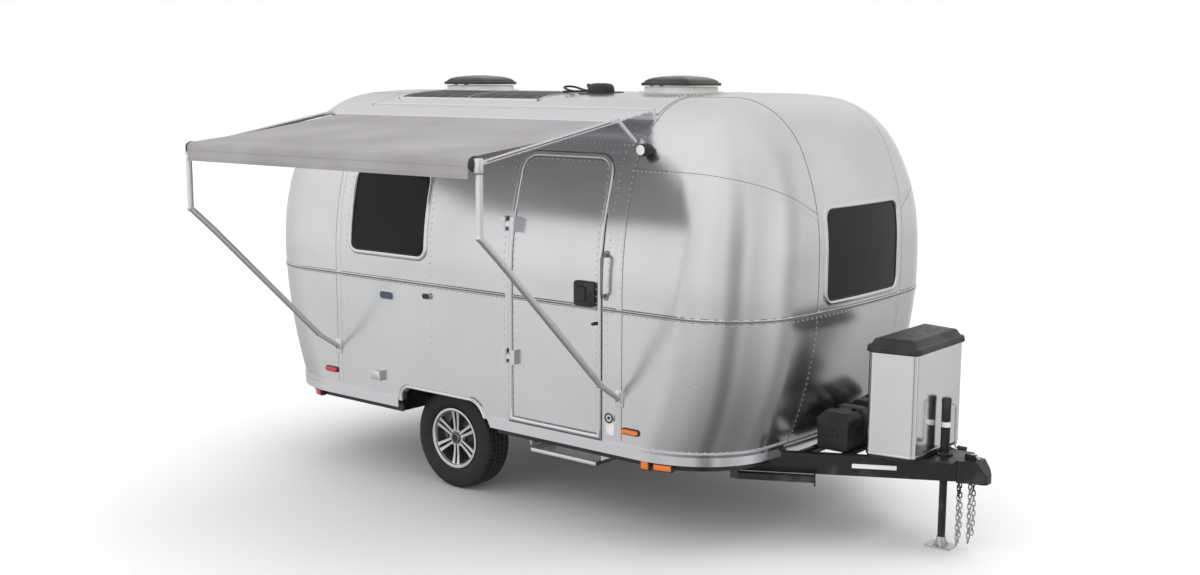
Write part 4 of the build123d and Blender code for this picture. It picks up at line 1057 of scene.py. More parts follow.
def frame_loop(cx, cy, wide, tall, radius, arc=8, side=10):
    """A rounded rectangle that always has the same number of points."""
    half_wide, half_tall = wide / 2 - radius, tall / 2 - radius

    def on_corner(k, degrees):
        sx, sy = ((1, 1), (-1, 1), (-1, -1), (1, -1))[k % 4]
        turn = math.radians(degrees)
        return cx + sx * half_wide + radius * math.cos(turn), cy + sy * half_tall + radius * math.sin(turn)

    loop = []
    for k in range(4):
        loop += [on_corner(k, 90 * k + 90 * t / arc) for t in range(arc + 1)]
        start, end = np.array(loop[-1]), np.array(on_corner(k + 1, 90 * (k + 1)))
        loop += [tuple(start + (end - start) * t / side) for t in range(1, side)]
    return loop


def rim(wall, cx, cy, wide, tall, radius, profile):
    """A profile of (distance outside the edge, height) carried round a rounded rectangle."""
    loops = []
    for d, h in profile:
        loop = frame_loop(cx, cy, wide + 2 * d, tall + 2 * d, radius + d)
        loops.append([on_wall(wall, u, v, h) for u, v in loop])
    return loft(loops, ring=True)


FRAME_PROFILE = [(0, -14), (0, 5), (2.5, 9.5), (7, 11.8), (14, 12), (21, 10.5), (28, 8), (33, 3.5),
                 (34, -0.5), (16, -14)]
rims = [rim(*window, PANE_CORNER, FRAME_PROFILE) for window in WINDOWS]
make("window_rims", rims, bright, node="window_frames", angle=50)
SEAL_PROFILE = [(-9, -3.8), (-8, -1.5), (-4, 0.5), (0.6, 1.5), (0.6, -3.8)]
seals = [rim(wall, x, level, wide - 2, tall - 2, PANE_CORNER - 1, SEAL_PROFILE)
         for wall, x, level, wide, tall in WINDOWS]
rubber = Finish("window rubber", (0.018, 0.018, 0.019), 0.62)
rubber.mottle(70.0, 0.2, 0.5)
rubber.bump(rubber.noise(220.0), 0.05)
make("window_seals", seals, rubber)
print("window rims:", len(rims))

# %% [markdown]
# ## Entrance door
# The door is cut from the same barrel, so its leaf bends with the wall. A rounded bright rim runs
# round its edge with rivets inside it. The leaf, rim, lock and belt stretch swing together.

# %% Door


def door_sheet(name, inset, start, thick):
    loop = onto_side(subdivided(door_loop(inset, 12), 60), "right")
    inner_points = [(x, s) for x in np.linspace(DOOR_REAR, DOOR_FRONT, 9)[1:-1] for s in steps_round
                    if s > HALF_LONG]
    flat, faces = filled(loop, [], inner_points)
    bent = [wrap(x, s) for x, s in flat]
    skin_at = [np.array(p) - start * np.array(n) for p, n in bent]
    return thick_panel(name, skin_at, [b[1] for b in bent], faces[:, ::-1], skin, thick)


leaf = door_sheet("door_outer_sheet", 8, 0, 18)
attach(leaf, "door")
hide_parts("door_leaf")
lining = door_sheet("door_inner_sheet", 18, 18, 21)
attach(lining, "door")
RIM_PROFILE = [(2, 0), (2, 7), (5, 12), (11, 14), (18, 14), (26, 12), (31, 7), (32, -0.5)]


def door_ring(inset, high):
    """A line round the door's edge at one inset and height."""
    wide, tall = DOOR_FRONT - DOOR_REAR - 2 * inset, DOOR_TOP - DOOR_LOW - 2 * inset
    corner = DOOR_CORNER - inset
    path = [(DOOR_REAR + inset, DOOR_LOW + inset + tall * k / 24) for k in range(20)]
    for start, cx in ((180, DOOR_REAR + DOOR_CORNER), (90, DOOR_FRONT - DOOR_CORNER)):
        for k in range(11):
            turn = math.radians(start - 90 * k / 10)
            path.append((cx + corner * math.cos(turn), DOOR_TOP - DOOR_CORNER + corner * math.sin(turn)))
    path += [(DOOR_FRONT - inset, DOOR_LOW + inset + tall * k / 24) for k in range(19, -1, -1)]
    path += [(DOOR_FRONT - inset - wide * k / 10, DOOR_LOW + inset) for k in range(1, 10)]
    return [on_wall("right", u, v, high) for u, v in path]


door_rim = loft([door_ring(*step) for step in RIM_PROFILE], ring=True)
make("door_rim", [door_rim], bright, "door", "door_trim", angle=50)
# Painted shade: a dark line at the foot of the rim inside it, and one in the gap round the door
inner_line = loft([door_ring(*step) for step in ((32, 0), (32, 1), (36, 1), (36, 0))], ring=True)
make("door_rim_shade", [inner_line], shade, "door", angle=50)
gap_line = loft([door_ring(*step) for step in ((-6, -0.8), (-6, 0.8), (-0.4, 0.8), (-0.4, -0.8))], ring=True)
make("door_gap_shade", [gap_line], shade, angle=50)
door_track = []
for u, v in subdivided(door_loop(46, 12), 60):
    place = on_wall("right", u, v)
    door_track.append((place, on_wall("right", u, v, 1) - place))
rivets("door_rivets",
       [p for p in evenly(door_track + door_track[:1], 44) if abs(p[0][2] - BELT_LEVEL) > 22], "door")
print("door made")

# %% [markdown]
# ## Finishes for the rest
# Black parts are paint, moulded plastic or rubber, and each catches the light in its own way.
# Paint on the tongue has dust and scuffs, plastic has a fine grain, and rubber is dull and greyer
# where it was handled. Zinc on the chains and the jack's foot is mottled.

# %% Paints, plastics, cloth
paint = Finish("black paint", (0.014, 0.014, 0.015), 0.32)
scuff = paint.noise(7.0, 6.0)
paint.set("Base Color", paint.mix(scuff.ramp(0.52, 0.72), (0.012, 0.012, 0.013), (0.05, 0.049, 0.047)))
paint.set("Roughness", scuff * 0.45 + 0.12)
paint.bump(paint.noise(160.0), 0.06, 0.0006)
plastic = Finish("black plastic", (0.018, 0.018, 0.019), 0.5)
plastic.set("Base Color",
            plastic.mix(plastic.noise(5.0, 5.0).ramp(0.4, 0.75), (0.014, 0.014, 0.015),
                        (0.042, 0.042, 0.044)))
plastic.mottle(30.0, 0.3, 0.3)
plastic.bump(plastic.noise(420.0, 2.0), 0.08, 0.0005)
zinc = Finish("zinc plate", (0.74, 0.74, 0.75), 0.34, 1.0)
spangle = zinc.node("ShaderNodeTexVoronoi", inputs={"Vector": zinc.place(), "Scale": 55.0})
zinc.set("Base Color", zinc.mix(spangle.ramp(0.1, 0.8), (0.46, 0.46, 0.47), (0.72, 0.72, 0.73)))
zinc.set("Roughness", spangle * 0.25 + 0.24)
white = Finish("white plastic", (0.72, 0.72, 0.70), 0.42)
grime = white.noise(6.0, 6.0)
white.set("Base Color", white.mix(grime.ramp(0.45, 0.8), (0.74, 0.74, 0.73), (0.52, 0.50, 0.46)))
white.set("Roughness", grime * 0.2 + 0.32)
glass = Finish("dark glass", (0.010, 0.010, 0.011), 0.05, 0.0, Specular_IOR_Level=0.16)
glass.mottle(3.0, 0.07, 0.02, 4.0)
smoked = Finish("smoked lid", (0.02, 0.021, 0.023), 0.16)
smoked.mottle(8.0, 0.28, 0.06, 5.0)
smoked.set("Base Color",
           smoked.mix(smoked.noise(4.0, 5.0).ramp(0.4, 0.8), (0.014, 0.015, 0.017), (0.06, 0.06, 0.062)))


def waves(finish, scale, along="X"):
    return finish.node("ShaderNodeTexWave", {"bands_direction": along},
                       {"Vector": finish.place(), "Scale": scale})


def lens_finish(name, colour, valley, crest):
    """Clear coated plastic with fine ribs inside it."""
    finish = Finish(name, colour, 0.16, Coat_Weight=0.6)
    ribs = waves(finish, 60.0)
    finish.set("Base Color", finish.mix(ribs, valley, crest))
    return finish.bump(ribs, 0.4, 0.001)


amber = lens_finish("amber lens", (0.80, 0.17, 0.01), (0.62, 0.10, 0.005), (0.95, 0.26, 0.02))
red = lens_finish("red lens", (0.55, 0.01, 0.012), (0.36, 0.004, 0.006), (0.80, 0.03, 0.03))
tyre_rubber = Finish("tyre rubber", (0.012, 0.012, 0.012), 0.62)
dust = tyre_rubber.noise(12.0, 6.0)
tyre_rubber.set("Base Color",
                tyre_rubber.mix(dust.ramp(0.35, 0.8), (0.009, 0.009, 0.009), (0.024, 0.023, 0.022)))
tyre_rubber.set("Roughness", dust * 0.25 + 0.52)
tyre_rubber.bump(tyre_rubber.noise(150.0), 0.12, 0.0006)
wheel_dark = Finish("wheel grey", (0.30, 0.305, 0.31), 0.35, 0.9)
wheel_dark.mottle(20.0, 0.2, 0.26)
wheel_cut = Finish("machined face", (0.72, 0.73, 0.74), 0.22, 1.0)
wheel_cut.mottle(35.0, 0.22, 0.14, 4.0)
cloth = Finish("awning cloth", (0.30, 0.28, 0.275), 0.86)
weave = waves(cloth, 180.0) + waves(cloth, 180.0, "Y")
stain = cloth.noise(1.6, 6.0)
cloth.set("Base Color", cloth.mix(stain.ramp(0.3, 0.75), (0.30, 0.285, 0.287), (0.40, 0.385, 0.39)))
cloth.bump(weave + stain * 2.0, 0.15, 0.0008)
brown = Finish("floor board", (0.20, 0.13, 0.08), 0.7)
grain = brown.noise(14.0, 5.0, brown.stretched(0.15, 1, 1))
brown.set("Base Color", brown.mix(grain, (0.12, 0.075, 0.045), (0.28, 0.19, 0.12)))
cast = Finish("cast iron", (0.09, 0.085, 0.08), 0.6, 0.7)
cast.mottle(30.0, 0.3, 0.45)
cast.bump(cast.noise(120.0), 0.2, 0.001)
enamel = Finish("badge enamel", (0.06, 0.075, 0.11), 0.4)
enamel.mottle(40.0, 0.2, 0.15)
tag_white = Finish("white label", (0.78, 0.78, 0.77), 0.5)
tag_white.mottle(30.0, 0.2, 0.4)
print("finishes made")

# %% Finishes for construction nodes that stay
KEPT = {
    paint: ["tongue_frame", "axle_beam", "axle_arms", "stabiliser_front_right", "stabiliser_front_left",
            "stabiliser_rear_right", "stabiliser_rear_left", "stabiliser_brackets", "step_links", "belly_pan",
            "wheel_housings", "coupler"],
    bright: ["base_rail", "hinge_knuckles", "door_hinge_leaves"],
    skin: ["storage_hatch", "wall_fittings"],
    rail_metal: ["step_frame"],
    glass: ["window_panes"],
    cast: ["drum_left", "drum_right"],
    white: ["gas_bottles"],
    brown: ["floor"],
}
for finish, names in KEPT.items():
    for name in names:
        nodes[name].data.materials.clear()
        nodes[name].data.materials.append(finish.material)
print("construction nodes that stay:", sum(len(names) for names in KEPT.values()))

# %% [markdown]
# ## Awning
# Next to the rail the cloth is protected by hinged slats that roll up round it. The cloth runs on
# from them to the roller, over its top and down as a short hem. Two telescopic arms stand on wall
# brackets and push the roller out, and two rafters keep it level.

# %% Slats and rail
AWNING_HALF, RAIL_Y, RAIL_Z, SLAT_END, ROLLER_Y, ROLLER_Z = 1270, -868, 2655, -1215, -2440, 2405
FALL = (ROLLER_Z - RAIL_Z) / (ROLLER_Y - RAIL_Y)
tilt = math.atan(FALL)
down_way = np.array((0, -math.cos(tilt), -math.sin(tilt)))
over_way = np.array((0, -math.sin(tilt), math.cos(tilt)))


def awning_line(y):
    return RAIL_Z + (y - RAIL_Y) * FALL


SLATS = 8
slat_pitch = (RAIL_Y - SLAT_END - 22) / SLATS
w = slat_pitch / math.cos(tilt)
slat = [(0.4, -2), (0.4, 1.5), (4, 6.2), (w * 0.5, 7.3), (w - 8, 5.0), (w - 5, 1.0), (w - 0.4, 0.6),
        (w - 0.4, -2)]
pieces = []
for k in range(SLATS):
    y = RAIL_Y - 19.7 - slat_pitch * k
    start = np.array((0, y, awning_line(y)))
    ends = np.linspace(-AWNING_HALF, AWNING_HALF - (8 if k % 2 else 0), 3)
    pieces.append(loft([[start + (x, 0, 0) + a * down_way + b * over_way for a, b in slat] for x in ends]))
make("awning_slat_row", pieces, bright, node="awning_slats", angle=25)
rail_profile = [(-883, 2672), (-870, 2678), (-862, 2674), (-872, 2664), (-880, 2660), (-888, 2656),
                (-888, 2640), (-884, 2636), (-888, 2632), (-888, 2604), (-880, 2600), (-860, 2600),
                (-858, 2606)]
pieces = [loft([[(x, y, z) for y, z in rail_profile] for x in (-1290, 0, 1290)])]
for x in (-1291, 1291):
    pieces.append(block((x, -874, 2637), (6, 24, 74), 2))
make("awning_rail_strip", pieces, rail_metal, node="awning_rail", angle=30)
print("slats:", SLATS, "pitch", round(slat_pitch, 1), "mm")

# %% Cloth
CLOTH_HALF, ACROSS_STEPS, TAUT_STEPS, CLOTH_R = 1265, 48, 25, 40.5
along = []
for t in np.linspace(0, 1, TAUT_STEPS + 1):
    y = SLAT_END + 0.5 + (ROLLER_Y + 4 - SLAT_END) * t
    z = awning_line(SLAT_END) + (ROLLER_Z + 40 - awning_line(SLAT_END)) * t - 9 * math.sin(math.pi * t)
    along.append((y, z))
over_roller = np.radians(range(12, 91, 13))
along += [(ROLLER_Y - CLOTH_R * math.sin(a), ROLLER_Z + CLOTH_R * math.cos(a)) for a in over_roller]
along += [(ROLLER_Y - 41, ROLLER_Z - z) for z in (12, 26, 40, 54, 66, 76)]
cloth_points = []
for k, (y, z) in enumerate(along):
    loose = math.sin(math.pi * min(k / TAUT_STEPS, 1))
    for i in range(ACROSS_STEPS + 1):
        u = i / ACROSS_STEPS
        x = -CLOTH_HALF + 2 * CLOTH_HALF * u
        ripple = 2.2 * math.sin(9 * u + k * 0.22) * loose + 1.3 * math.sin(31 * u + 1.3) * (k / len(along))
        hem = 1.2 * math.sin(17 * u + 2) * max(0, k - 30) / 8
        cloth_points.append((x, y + hem, z + ripple - 5 * math.sin(math.pi * u) * loose))
width = ACROSS_STEPS + 1
corners = [r * width + c for r in range(len(along) - 1) for c in range(ACROSS_STEPS)]
cloth_faces = [[a, a + width, a + width + 1, a + 1] for a in corners]
cloth_sheet = mesh_object("awning_cloth", cloth_points, None, cloth_faces, cloth)
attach(cloth_sheet, "caravan")
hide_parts("awning_fabric")
thread = []
for z in (12, 62):
    thread.append(sweep([(x, ROLLER_Y - 42.2, ROLLER_Z - z) for x in np.linspace(-1262, 1262, 40)],
                        disc(0.9, 6)))
hem_cord = sweep([(x, ROLLER_Y - 41, ROLLER_Z - 77) for x in np.linspace(-CLOTH_HALF, CLOTH_HALF, 40)],
                 disc(2.6, 8))
hem = make("awning_hem", [hem_cord, *thread], cloth)

# %% Roller, arms and rafters
pieces = [lathe([(-1268, 37), (1268, 37)], (0, ROLLER_Y, ROLLER_Z), "x", 40)]
make("awning_roller_tube", pieces, rail_metal, node="awning_roller")
caps, arm_heads = [], []
for side in (-1, 1):
    centre = (side * 1267.5, ROLLER_Y, ROLLER_Z)
    cap = [(0, 20), (0, 42), (3, 44), (10, 44), (15, 40), (19, 30), (19.5, 0.5)]
    caps.append(lathe(cap, centre, "x", 36, sign=side))
    arm_heads.append(block((side * 1305, ROLLER_Y, ROLLER_Z - 8), (38, 42, 80), 7))
    centre = (side * 1320, ROLLER_Y, ROLLER_Z)
    arm_heads.append(lathe([(0, 15), (0, 16), (3, 15), (4, 0.5)], centre, "x", 20, sign=side))
make("awning_roller_caps", caps, plastic)
make("awning_arm_heads", arm_heads, rail_metal)
LOWER_ARM = [(-1236, 914), (-1413, 1030), (-2272, 1858), (-2440, 2010), (-2440, 2350)]
RAFTER = [(-1077, 2476), (-1250, 2612), (-2414, 2410)]
ARM_PIN = [(-17, 0.5), (-17, 15), (-14, 19), (14, 19), (17, 15), (17, 0.5)]
RAFTER_PIN = [(-8, 0.5), (-8, 13), (-6, 15.5), (6, 15.5), (8, 13), (8, 0.5)]
arms, pins, rafters, grooves = [], [], [], []
for side in (-1, 1):
    x = side * 1310
    spots_on = [(x, y, z) for y, z in LOWER_ARM]
    for k, (first, last) in enumerate(zip(spots_on, spots_on[1:])):
        thin = 30 if k in (0, 3) else 33
        arms.append(sweep([first, last], slab(thin, thin, 4), (1, 0, 0)))
    mid = np.array(spots_on[1]) * 0.42 + np.array(spots_on[2]) * 0.58
    way = (np.array(spots_on[2]) - spots_on[1]) / math.dist(spots_on[1], spots_on[2])
    pins.append(sweep([mid - 22 * way, mid + 22 * way], slab(33.8, 33.8, 5), (1, 0, 0)))
    for y, z in LOWER_ARM[1:-1]:
        pins.append(lathe(ARM_PIN, (x, y, z), "x", 24))
        pins.append(lathe([(16, 0.5), (16, 7), (16.9, 6), (17, 0.5)], (x, y, z), "x", 6, sign=side))
    foot, level = on_side(x, LOWER_ARM[0][1], -1)[0][1], LOWER_ARM[0][1]
    pins.append(block((x, foot - 4, level), (58, 8, 106), 3))
    for dx in (-19, 19):
        pins.append(block((x + dx, foot - 12, level), (5, 22, 46), 1.5))
    for dz in (-40, 40):
        pins.append(dome(np.array((x, foot - 7.6, level + dz)), (0, -1, 0), 7, 3, 10))
    x2 = side * 1302
    path = [(x2, y, z) for y, z in RAFTER]
    for first, last in zip(path, path[1:]):
        rafters.append(sweep([first, last], slab(25.5, 15.5, 3), (1, 0, 0)))
    a, b = np.array(path[1]), np.array(path[2])
    grooves.append(sweep([a + (b - a) * 0.06, a + (b - a) * 0.97], slab(6, 16.2, 1), (1, 0, 0)))
    rafters.append(lathe(RAFTER_PIN, path[1], "x", 24))
    wall_hit = touch((x2, 0, 2462), (0, -1, 0.0))
    rafters.append(block((x2, wall_hit[0][1] - 8, 2468), (15, 26, 60), 3, (-30, 0, 0)))
make("awning_rafter_grooves", grooves, plastic, angle=30)
make("awning_arm_bars", arms, rail_metal, node="awning_lower_arms", angle=30)
make("awning_arm_pins", pins, rail_metal, angle=30)
make("awning_rafter_bars", rafters, bright, node="awning_rafters", angle=30)
print("awning made")

# %% [markdown]
# ## Roof
# Two vents stand on white flanges and have smoked domed lids with ribs. The solar panel is glued
# flat to the roof beside them, and its black corrugated leads loop over to a small entry box.

# %% Vents
VENT_TOP = ROOF + 38
VENT_FLANGE = [(438, 30, -6), (438, 30, 4.5), (432, 28, 7), (376, 24, 7), (371, 22, 36), (368, 22, 38),
               (356, 18, 38), (354, 18, -6)]
VENT_DOME = [(404, 404, 32, 7), (410, 410, 34, 9), (410, 410, 34, 24), (404, 404, 31, 27),
             (388, 388, 30, 28), (384, 384, 30, 31), (368, 372, 30, 41), (330, 345, 30, 52),
             (270, 300, 30, 62), (190, 230, 30, 69), (110, 150, 30, 72.5), (60, 90, 25, 73)]
base_pieces, screw_list = [], []
for name, x in zip(("front", "rear"), VENTS):
    ring_loops = []
    for size, corner, z in VENT_FLANGE:
        sag = 2.0 if z < 10 else 0
        loop = rounded(x, 0, size, size, corner, 6)
        ring_loops.append([(px, py, ROOF + z - sag * (py / 220) ** 2) for px, py in loop])
    base_pieces.append(loft(ring_loops, ring=True))
    for k in range(16):
        t = (k % 4 - 1.5) / 1.5 * 190
        px, py = ((t, 205), (205, t), (t, -205), (-205, t))[k // 4]
        screw_list.append((np.array((x + px, py, ROOF + 4.5)), np.array((0, 0, 1.0))))
    for y in (-56, 56):
        base_pieces.append(block((x - 211, y, VENT_TOP + 3), (10, 38, 8), 2))
        base_pieces.append(block((x - 211, y, VENT_TOP - 17), (8, 38, 40), 2))
    lid_parts = [tower(x, 0, [(*plan, VENT_TOP + z - 2) for *plan, z in VENT_DOME], 6)]
    for y in np.linspace(-105, 105, 7):
        high = 70.4 - (abs(y) / 150) ** 2 * 12
        rib = [(-160, 38), (-110, high - 10), (-50, high - 1), (50, high - 1), (110, high - 10), (160, 38)]
        lid_parts.append(sweep([(x + dx, y, VENT_TOP + z) for dx, z in rib], slab(8, 7, 2), (0, 0, 1)))
    lid_parts.append(block((x - 209, 0, VENT_TOP + 8), (10, 70, 8), 2))
    lid, node = "roof_vent_" + name, "vent_lid_" + name
    make("vent_dome_" + name, lid_parts, smoked, lid, node, angle=40)
make("vent_flanges", base_pieces, white, node="vent_bases", angle=40)
rivets("vent_screws", screw_list, radius=5, high=2)
print("vent screws:", len(screw_list))

# %% Solar panel and its leads


def on_roof(x, y, high=0.0):
    place, way = touch((x, y, 2000), (0, 0, 1))
    return place + high * way


panel_glass = Finish("panel cells", (0.03, 0.03, 0.035), 0.45, 0.0, Specular_IOR_Level=0.12)
px, py = panel_glass.axis("X"), panel_glass.axis("Y")
line_x = (((px + 10.0) * 7.3).op("FRACT") - 0.5).abs() > 0.475
line_y = (((py + 10.0) * 12.8).op("FRACT") - 0.5).abs() > 0.485
cell = (line_x + line_y * 0.25).clamp()
panel_glass.set("Base Color", panel_glass.mix(cell, (0.028, 0.028, 0.034), (0.30, 0.30, 0.31)))
panel_glass.set("Roughness", cell * 0.2 + panel_glass.noise(6.0) * 0.2 + 0.34)


def roof_plate(x0, x1, y0, y1, low, high, nx=12, ny=8):
    xs, ys = np.linspace(x0, x1, nx), np.linspace(y0, y1, ny)
    top = [[on_roof(x, y, high) for y in ys] for x in xs]
    loops = [[*row, *[p - (0, 0, high - low) for p in reversed(row)]] for row in top]
    return loft(loops)


make("solar_cells", [roof_plate(-1186, 166, -686, -244, -0.8, 3.6)], panel_glass, node="solar_panel",
     angle=30)
frame_bars = [roof_plate(-1199, 179, y, y + 15, -0.8, 4.8, 12, 2) for y in (-699, -246)]
frame_bars += [roof_plate(x, x + 15, -699, -231, -0.8, 4.8, 2, 8) for x in (-1199, 164)]
frame_bars.append(roof_plate(-515, -507, -699, -231, -0.8, 4.6, 2, 8))
make("solar_frame", frame_bars, rail_metal)
ENTRY = (425, -330)
z0 = on_roof(*ENTRY)[2]
pad_loops = []
for wide, high in ((228, -1.0), (228, 5.0), (222, 7.0)):
    pad_loops.append([on_roof(x, y, high) for x, y in rounded(*ENTRY, wide, wide, 16, 4)])
entry = [loft(pad_loops)]
hood = [(156, 122, 24, 4), (160, 124, 24, 12), (156, 120, 24, 38), (144, 108, 22, 54), (118, 84, 20, 64),
        (80, 50, 16, 68)]
for layers in (hood, [(168, 132, 28, 3), (168, 132, 28, 12)]):
    entry.append(tower(*ENTRY, [(*plan, z0 + z) for *plan, z in layers]))
for y in (-352, -308):
    gland = (ENTRY[0] - 78, y, z0 + 17)
    entry.append(lathe([(-8, 14), (14, 14), (20, 12), (26, 9)], gland, "x", 18, sign=-1))
make("cable_entry_box", entry, plastic, node="cable_entry", angle=35)
LEAD_KNOTS = [
    # station, y, height over the roof at the entry box
    [(317, -352, 17), (280, -360, 24), (236, -392, 44), (204, -446, 46), (228, -496, 34), (276, -478, 16),
     (262, -420, 12), (204, -382, 10), (120, -372, 8)],
    [(317, -308, 17), (284, -296, 30), (246, -262, 58), (222, -214, 56), (244, -176, 34), (292, -192, 20),
     (276, -248, 12), (206, -284, 10), (120, -296, 8)],
]
for k, knots in enumerate(LEAD_KNOTS):
    route = [np.array(p) for p in softened([(x, y, z0 + z) for x, y, z in knots], 30, 4)]
    for p in route:
        p[2] = max(p[2], on_roof(p[0], p[1])[2] + 9)
    steps_along = [route[0]]
    for a, b in zip(route, route[1:]):
        count = max(1, round(np.linalg.norm(b - a) / 3.5))
        steps_along += [a + (b - a) * i / count for i in range(1, count + 1)]
    sizes = [1.0 if i % 2 else 0.8 for i in range(len(steps_along))]
    ribbed = sweep(steps_along, disc(8.0, 12), scale=sizes)
    lead = make("roof_lead_%d" % (k + 1), [ribbed], plastic, angle=60)
    long = sum(math.dist(a, b) for a, b in zip(steps_along, steps_along[1:])) / 1000
    print("lead", k + 1, "length", round(long, 3))

# %% [markdown]
# ## Gas cover and batteries
# The bottles stand under a tall bright cover whose sheet is folded round four wide corners. Its
# lid is black, with a rim that reaches over the sheet. Behind it are two battery boxes with
# chamfered lids, each held down by a strap.

# %% Gas cover


def cover_plan(grow, steps=8):
    rear, ahead = (2525 - grow, 367 + grow), (2835 + grow, 319 + grow)
    corners = [(rear[0], -rear[1]), (ahead[0], -ahead[1]), ahead, rear]
    r, loop = 40 + grow, []
    for k, corner in enumerate(corners):
        before, after = np.array(corners[k - 1]), np.array(corners[(k + 1) % 4])
        corner = np.array(corner)
        a = (before - corner) / np.linalg.norm(before - corner)
        b = (after - corner) / np.linalg.norm(after - corner)
        half = math.acos(float(a @ b)) / 2
        centre = corner + (a + b) / np.linalg.norm(a + b) * r / math.sin(half)
        start = corner + a * r / math.tan(half) - centre
        end = corner + b * r / math.tan(half) - centre
        t0, t1 = math.atan2(start[1], start[0]), math.atan2(end[1], end[0])
        if t1 < t0:
            t1 += 2 * math.pi
        loop += [tuple(centre + r * np.array((math.cos(t), math.sin(t)))) for t in np.linspace(t0, t1, steps)]
    return loop


def cover_ring(levels):
    return loft([[(x, y, z) for x, y in cover_plan(grow)] for grow, z in levels], ring=True)


wall_pieces = [cover_ring([(0, 604), (0, 618), (0, 640), (0, 1215), (0, 1233), (-4, 1233), (-4, 604)])]
wall_pieces.append(cover_ring([(0.1, 604), (2.5, 606), (3.2, 612), (2.5, 618), (0.1, 620)]))
for y in (-200, 200):
    for end in (-1, 1):
        wall_pieces.append(block((2512, y + end * 36, 1225), (27, 8, 20), 2))
        wall_pieces.append(lathe([(-4, 0.5), (-4, 6.8), (4, 6.8), (4, 0.5)], (2499, y + end * 36, 1239),
                                 "y", 16))
cover_metal = sheet_metal("cover sheet", (0.93, 0.93, 0.94), 0.16, 0.5)
make("gas_cover_sheet", wall_pieces, cover_metal, node="gas_cover", angle=35)
COVER_X = 2680


def lid_plan(grow):
    """The cover's plan, or inside its corner radius the smallest such plan drawn in."""
    if grow > -36:
        return cover_plan(grow)
    short, thin = 1 + (grow + 35) / 190, 1 + (grow + 35) / 380
    return [(COVER_X + (x - COVER_X) * short, y * thin) for x, y in cover_plan(-35)]


lid_levels = [(14, 1239), (14, 1262), (13, 1271), (9, 1276), (-6, 1279), (-12, 1283), (-30, 1311),
              (-36, 1316), (-60, 1319)]
lid_pieces = [stack([(lid_plan(grow), level) for grow, level in lid_levels])]
for x, y in cover_plan(14, 3):
    lid_pieces.append(lathe([(0, 5.5), (10, 5.5), (12, 3.5)], (x, y, 1244), "z", 10))
for y in (-200, 200):
    lid_pieces.append(block((2507, y, 1243), (20, 58, 8), 2))
    lid_pieces.append(lathe([(-29, 0.5), (-29, 6.8), (29, 6.8), (29, 0.5)], (2499, y, 1239), "y", 16))
make("gas_cover_top", lid_pieces, plastic, "gas_lid", "gas_cover_lid", angle=35)
cover_heads = []
for z in (626, 1214):
    for x in (2590, COVER_X, 2770):
        for side in (-1, 1):
            half = 367 - (x - 2525) * 0.155
            cover_heads.append((np.array((x, side * half, z)), np.array((0.0, side, 0))))
rivets("gas_cover_rivets", cover_heads, radius=4, high=1.5)
print("gas cover made, rivets:", len(cover_heads))

# %% Batteries
BATTERY_X, BATTERY_FOOT = 2300, 582
BOX = [(205, 310, 14, 0), (215, 321, 14, 8), (215, 321, 14, 146)]
BOX_LID = [(225, 335, 16, 145), (225, 335, 16, 192), (219, 329, 15, 198), (160, 268, 12, 230),
           (150, 258, 10, 234.5)]
STRAP = [(-109, 2), (-115, 150), (-115, 196), (-82, 234), (82, 234), (115, 196), (115, 150), (109, 2)]
box_parts, strap_parts = [], []
for y in (-198, 198):
    for layers in (BOX, BOX_LID):
        box_parts.append(tower(BATTERY_X, y, [(*plan, BATTERY_FOOT + z) for *plan, z in layers]))
    for dy in (-110, 0, 110):
        for dx in (-107, 107):
            box_parts.append(block((BATTERY_X + dx, y + dy, BATTERY_FOOT + 76), (6, 44, 128), 3))
    for side in (-1, 1):
        box_parts.append(block((BATTERY_X + side * 60, y, BATTERY_FOOT + 232), (40, 60, 5), 1.5))
        box_parts.append(block((BATTERY_X, y + side * 161, BATTERY_FOOT + 104), (74, 10, 30), 3))
    strap = [(BATTERY_X + dx, y + 42, BATTERY_FOOT + dz) for dx, dz in STRAP]
    strap_parts.append(sweep(strap, slab(38, 1.8, 0.6), (0, 0.0001, 1)))
make("battery_tray", [block((BATTERY_X, 0, 578), (300, 690, 5), 1.5)], paint, angle=30)
make("battery_cases", box_parts, plastic, node="battery_boxes", angle=30)
make("battery_straps", strap_parts, rubber, angle=30)
print("battery box pieces:", len(box_parts))

# %% [markdown]
# ## Jack, coupler and chains
# The jack is a black tube with a paper band, a plated foot and a folding crank. The chains hang
# from the coupler, each link a quarter turn from the last. The pressed head has its latch on top.

# %% Jack
JACK_X = 2885


def on_jack(profile, closed=True, steps=40):
    """A shape turned about the jack's upright axis."""
    return lathe(profile, (JACK_X, 0, 0), "z", steps, closed)


tube = [(415, 24.5), (415, 27.5), (418, 28.5), (930, 28.5), (936, 27.5), (940, 23), (940, 0.5), (932, 0.5),
        (932, 24.5)]
collar = [(904, 28.3), (904, 30.2), (928, 30.2), (934, 28.3)]
flange = [(582, 28.3), (582, 51), (585, 52), (590, 52), (592, 50), (592, 33), (600, 28.4)]
tube_parts = [on_jack(tube, False), on_jack(collar), on_jack(flange)]
for k in range(3):
    a = math.radians(30 + 120 * k)
    bolt_at = (JACK_X + 42 * math.cos(a), 42 * math.sin(a), 0)
    tube_parts.append(lathe([(590, 0.5), (590, 7), (596, 7), (597, 5), (597, 0.5)], bolt_at, "z", 6))
make("jack_outer_tube", tube_parts, paint, node="jack_tube", angle=35)
paper = on_jack([(758, 28.6), (758, 28.9), (790, 28.9), (790, 28.6)])
make("jack_paper_band", [paper], tag_white)
make("jack_inner_leg", [on_jack([(70, 23.9), (585, 23.9)], False)], paint, "jack_foot", "jack_leg")
foot_parts = [tower(JACK_X, 0,
                    [(168, 128, 18, 0.2), (170, 130, 18, 2), (170, 130, 18, 5.5), (168, 128, 18, 7)], 5)]
